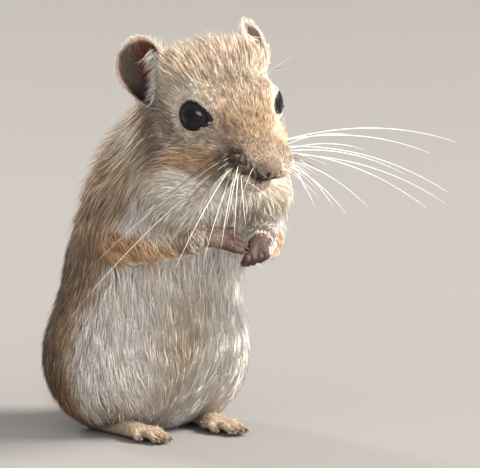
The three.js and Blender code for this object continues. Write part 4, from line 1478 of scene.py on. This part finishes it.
def short_hair(field, low, high, ways, reach, shade, grows):
    p, quads = surface(field, low, high, PAW_HAIR_STEP)
    at, normal = scatter(p, fans(quads), lambda q: np.full(q.shape[:-1], PAW_HAIR_DENSITY))
    keep = grows(at, normal)
    at, normal = settle(field, at[keep]), normal[keep]
    count = len(at)
    way = unit(ways - normal * (normal @ ways)[:, None] + normal * 0.25 + chance.normal(0, 0.12, at.shape))
    size = chance.uniform(0.6, 1.1, (count, 1, 1)) * reach * np.linspace(0, 1, 3)[:, None]
    under, tones = at - normal * 0.06, (0.7, 1, 1.1)
    lines, shades = short_hairs(under, normal, way, size, 0.2, reach, shade, 0.1, tones)
    lines[..., 2] = np.maximum(lines[..., 2], LOWEST_HAIR)
    around = np.arctan2(normal[:, 2], normal[:, 0]) / (2 * math.pi) + 0.5
    along = (at[:, 1] - low[1]) / (high[1] - low[1])
    place = np.stack([around, along], -1)
    return lines, normal, np.full(count, PAW_HAIR_WIDTH), shades, place


def paw_hair(side, s):
    arm = ARMS[s]
    (hand, *hand_box, _), (foot, *foot_box, _) = paw_shapes[s]
    onward = unit(arm["knuckles"] - arm["wrist"])
    shade = mix(PAW_DARK, BUFF, 0.35) if s < 0 else mix(PAW_DARK, WHITE, 0.25)

    def on_hand(at, normal):
        return ((at - arm["palm"]) @ onward < 2.2) & (chance.random(len(at)) < 0.7)

    def on_foot(at, normal):
        return (at[:, 2] > 0.9) & (normal[:, 2] > -0.3) & (at[:, 1] > -21)

    hand_hair = short_hair(hand, *hand_box, onward, 1.3, shade, on_hand)
    foot_hair = short_hair(foot, *foot_box, vec(0, -1, -0.1), 1.5, mix(FOOT_PALE, CREAM, 0.5), on_foot)
    # The hand's hair has the lower half of the map and the foot's the upper
    hand_hair[4][:, 1] *= 0.45
    foot_hair[4][:, 1] = foot_hair[4][:, 1] * 0.45 + 0.5
    both = (np.concatenate(pair) for pair in zip(hand_hair, foot_hair))
    add_tufts(f"paw_hair_{side}", *both, "paw_skin")


for side, s in SIDES.items():
    paw_hair(side, s)


# Swept tapered tubes: whiskers and claws

def tube(points, radii, sides, shades):
    along = unit(np.gradient(points, axis=0))
    side = unit(np.cross(along, vec(0.13, 0.31, 0.94)))
    top = np.cross(side, along)
    angle = np.linspace(0, 2 * math.pi, sides, endpoint=False)[:, None]
    ring = side[:, None] * np.cos(angle) + top[:, None] * np.sin(angle)
    body = (points[:, None] + ring * radii[:, None, None]).reshape(-1, 3)
    j = np.arange(sides)
    first, last, end = len(body), len(body) + 1, (len(points) - 1) * sides
    caps = [
        np.stack([np.full(sides, first), j, (j + 1) % sides], -1),
        np.stack([np.full(sides, last), end + (j + 1) % sides, end + j], -1),
    ]
    body = np.concatenate([body, points[:1], points[-1:]])
    colours = np.concatenate([np.repeat(shades, sides, 0), shades[:1], shades[-1:]])
    return body, [rings_of_quads(len(points) - 1, sides), *caps], colours


HAIR_LIGHT, HAIR_DARK = vec(0.96, 0.94, 0.90), vec(0.12, 0.10, 0.09)


def whisker(root, end, bow, thick, pale):
    t = np.linspace(0, 1, 18)[:, None]
    line = mix(root, end, t) + bow * length_of(end - root) * t * (1 - t)
    radii = thick * mix(1.25, 1, pale) * (1 - 0.88 * t[:, 0] ** 1.3)
    start = mix(HAIR_DARK, HAIR_LIGHT * 0.92, pale)
    tip = mix(HAIR_DARK, HAIR_LIGHT, min(0.12 + 1.6 * pale, 1))
    return tube(line, radii, 5, mix(start, tip, t))


# The whiskers of each side: how far ahead and down on the pad each is rooted, where it ends in the head's
# frame, and how pale it is
WHISKERS = {
    -1: [
        (0.0, 0.0, (-31, -21, -10), 0), (0.15, 0.2, (-25, -24, -6), 0), (0.0, 0.4, (-43, -21, -20), 0.4),
        (0.1, 0.6, (-46, -22, -29), 0.5), (0.3, 0.1, (-27, -25, -10), 0), (0.3, 0.5, (-32, -25, -24), 0.3),
        (0.5, 0.2, (-20, -23, -8), 0), (0.45, 0.6, (-26, -26, -22), 1), (0.55, 0.8, (-19, -26, -21), 1),
        (0.65, 0.4, (-14, -23, -8), 0), (0.7, 0.7, (-15, -26, -19), 1), (0.75, 0.3, (-13, -24, -14), 1),
        (0.85, 0.6, (-12, -26, -16), 1), (0.95, 0.7, (-9, -25, -14), 1), (1.0, 0.9, (-2, -25, -10), 1),
    ],
    1: [
        (0.0, 0.1, (39, -19, -8), 1), (0.1, 0.3, (43, -22, -17), 1), (0.15, 0.0, (46, -18, -7), 1),
        (0.1, 0.6, (37, -24, -19), 1), (0.3, 0.8, (22, -24, -16), 1), (0.45, 1.0, (16, -25, -16), 1),
        (0.45, 0.2, (22, -19, -4), 1), (0.6, 0.8, (13, -24, -14), 1), (0.5, 0.0, (18, -18, 0), 1),
        (0.75, 0.4, (8, -21, -5), 1), (0.8, 0.9, (8, -25, -13), 1), (0.9, 0.6, (6, -23, -9), 1),
        (1.0, 1.0, (3, -24, -12), 1), (0.3, 0.4, (32, -21, -11), 1), (0.0, 0.8, (42, -23, -19), 1),
    ],
}
SHORT_WHISKERS, BROW_HAIRS = 14, 3
ROOT_DEPTH = 0.25
WHISKER_BOWS = {-1: vec(-0.06, -0.06, 0.14), 1: vec(0.04, -0.05, 0.30)}
WHISKER_THICKNESS = {-1: 0.105, 1: 0.12}


def on_face(inside, direction):
    """Just under the skin, from a point inside the head along a direction, both in the head's frame."""
    direction = head_direction(*direction)
    return surface_point(plain_skin, on_head(*inside), direction) - direction * ROOT_DEPTH


made = []
for s, table in WHISKERS.items():
    for ahead, down, end, pale in table:
        root = on_face((s * 2.5, mix(-9.5, -15.5, ahead), mix(-3.6, -8.6, down)), (s, -0.15, 0))
        made.append(whisker(root, on_head(*end), WHISKER_BOWS[s], WHISKER_THICKNESS[s], pale))
    for _ in range(SHORT_WHISKERS):
        ahead, down = chance.random(2)
        root = on_face((s * 2.5, mix(-10.5, -16.5, ahead), mix(-4.5, -10, down)), (s, -0.35, 0))
        way = head_direction(s * mix(1, 0.6, ahead), mix(-0.2, -0.75, ahead), mix(-0.1, -1.1, down))
        end = root + way * chance.uniform(4, 11)
        made.append(whisker(root, end, vec(0, 0, 0.2), 0.05, float(chance.random() < 0.6)))
    for i in range(BROW_HAIRS):
        root = on_face((s * 5, 2 + i * 1.4, 2), (s * 0.5, 0.1, 1))
        way = head_direction(s * (0.85 + 0.1 * i), -0.1 - 0.3 * i, 0.6 - 0.1 * i)
        made.append(whisker(root, root + way * (9 - 1.5 * i), vec(0, 0, 0.15), 0.045, i != 1))
whisker_look = material("whisker_look", (0.25, 0.4), variation=0.15, scale=200, Specular_IOR_Level=0.05)
own_piece("whiskers", *joined(made), whisker_look, "coat")

CLAW_ROOT, CLAW_TIP = vec(0.22, 0.16, 0.14), vec(0.60, 0.51, 0.44)


def claw(root, direction, curve, size, radius):
    t = np.linspace(0, 1, 8)[:, None]
    line = root + direction * size * t + curve * size * 0.3 * t * t
    return tube(line, radius * (1 - 0.85 * t[:, 0] ** 1.2), 8, mix(CLAW_ROOT, CLAW_TIP, t))


claw_look = material("claw_look", (0.25, 0.45), scale=1600, variation=0.3, grain=(6000, 0.00003))
for side, s in SIDES.items():
    made = []
    for root, bend, tip in fingers(ARMS[s]):
        onward = unit(tip - bend)
        made.append(claw(tip + onward * 0.2, onward, vec(0, 1, 0), 1.8, 0.3))
    for across, root, knuckle, tip in toes(s):
        onward = unit(vec(across * 0.03, -1, 0.12))
        made.append(claw(tip + vec(0, -0.2, 0.25), onward, vec(0, 0, -1), 2.2, 0.38))
    own_piece(f"claws_{side}", *joined(made), claw_look, "paw_skin")

# Floor, camera and lights

FLOOR_GREY = (0.505, 0.495, 0.485)
FLOOR_HALF = 6.0
corners = [(x * FLOOR_HALF, y * FLOOR_HALF, 0) for x, y in ((-1, -1), (1, -1), (1, 1), (-1, 1))]
floor_mesh = bpy.data.meshes.new("floor")
floor_mesh.from_pydata(corners, [], [(0, 1, 2, 3)])
floor_mesh.materials.append(material("floor_look", (0.7, 0.85), FLOOR_GREY, 0.02, 3, (600, 0.0001)))
add_object("floor", floor_mesh)

# The camera looks from the animal's right and front, a little above it. The middle of its frame is so many
# pixels right of and above the part's origin, each PIXEL metres wide at DISTANCE
PIXEL, DISTANCE = 0.00022, 1.5
IMAGE_WIDTH, MIDDLE_RIGHT, MIDDLE_UP, MIDDLE_NEARER = 480, 92, 196, 0.025
SENSOR = 36
VIEW_RIGHT, VIEW_UP = vec(0.8387, -0.5446, 0), vec(0.0758, 0.1167, 0.9903)
VIEW_BACK = vec(-0.5393, -0.8306, 0.1392)
MIDDLE = VIEW_RIGHT * MIDDLE_RIGHT * PIXEL + VIEW_UP * MIDDLE_UP * PIXEL + VIEW_BACK * MIDDLE_NEARER
camera_data = bpy.data.cameras.new("camera")
camera_data.sensor_width = SENSOR
camera_data.lens = SENSOR * DISTANCE / (IMAGE_WIDTH * PIXEL)
camera_data.clip_end = 30
place = np.eye(4)
place[:3, :3] = np.stack([VIEW_RIGHT, VIEW_UP, VIEW_BACK], -1)
place[:3, 3] = MIDDLE + VIEW_BACK * DISTANCE
camera = add_object("camera", camera_data)
camera.matrix_world = Matrix(place.tolist())
bpy.context.scene.camera = camera

AIM = Vector((0, -0.01, 0.05))


def area_light(name, right, up, toward, distance, size, power, colour, shines=True, lights=True):
    """A soft light, placed by the viewer's right, up and towards the viewer, that shines at the animal."""
    data = bpy.data.lights.new(name, "AREA")
    data.shape = "DISK"
    data.size = size
    data.energy = power
    data.color = colour
    way = Vector(unit(VIEW_RIGHT * right + VIEW_UP * up + VIEW_BACK * toward))
    made = add_object(name, data)
    made.visible_glossy, made.visible_diffuse = shines, lights
    made.location = AIM + way * distance
    made.rotation_euler = (-way).to_track_quat("-Z", "Y").to_euler()


area_light("key", 1.0, 0.82, 0.2, 3.0, 1.4, 245, (1.0, 0.95, 0.88))
area_light("side", 0.8, 0.08, 0.85, 2.6, 1.6, 66, (1.0, 0.96, 0.92), shines=False)
area_light("rim", -0.7, 0.8, -0.75, 1.3, 0.3, 7, (1.0, 0.97, 0.92))
area_light("fill", -0.5, 0.4, 1.0, 1.8, 2.4, 15, (1.0, 0.97, 0.95), shines=False)
# These light nothing and are only mirrored, in the eyes above all
for right, up, size, power in ((0.14, 0.1, 0.56, 8), (-0.14, 0.22, 0.36, 3.2), (0.34, -0.08, 0.26, 1.8)):
    area_light("catch", right, up, 1.0, 1.4, size, power, (0.74, 0.78, 1.0), lights=False)
world = bpy.data.worlds.new("studio")
world.use_nodes = True
sky = world.node_tree.nodes["Background"]
sky.inputs["Color"].default_value = (1.0, 0.98, 0.98, 1)
sky.inputs["Strength"].default_value = 0.55
bpy.context.scene.world = world
bpy.context.scene.view_settings.view_transform = "Standard"
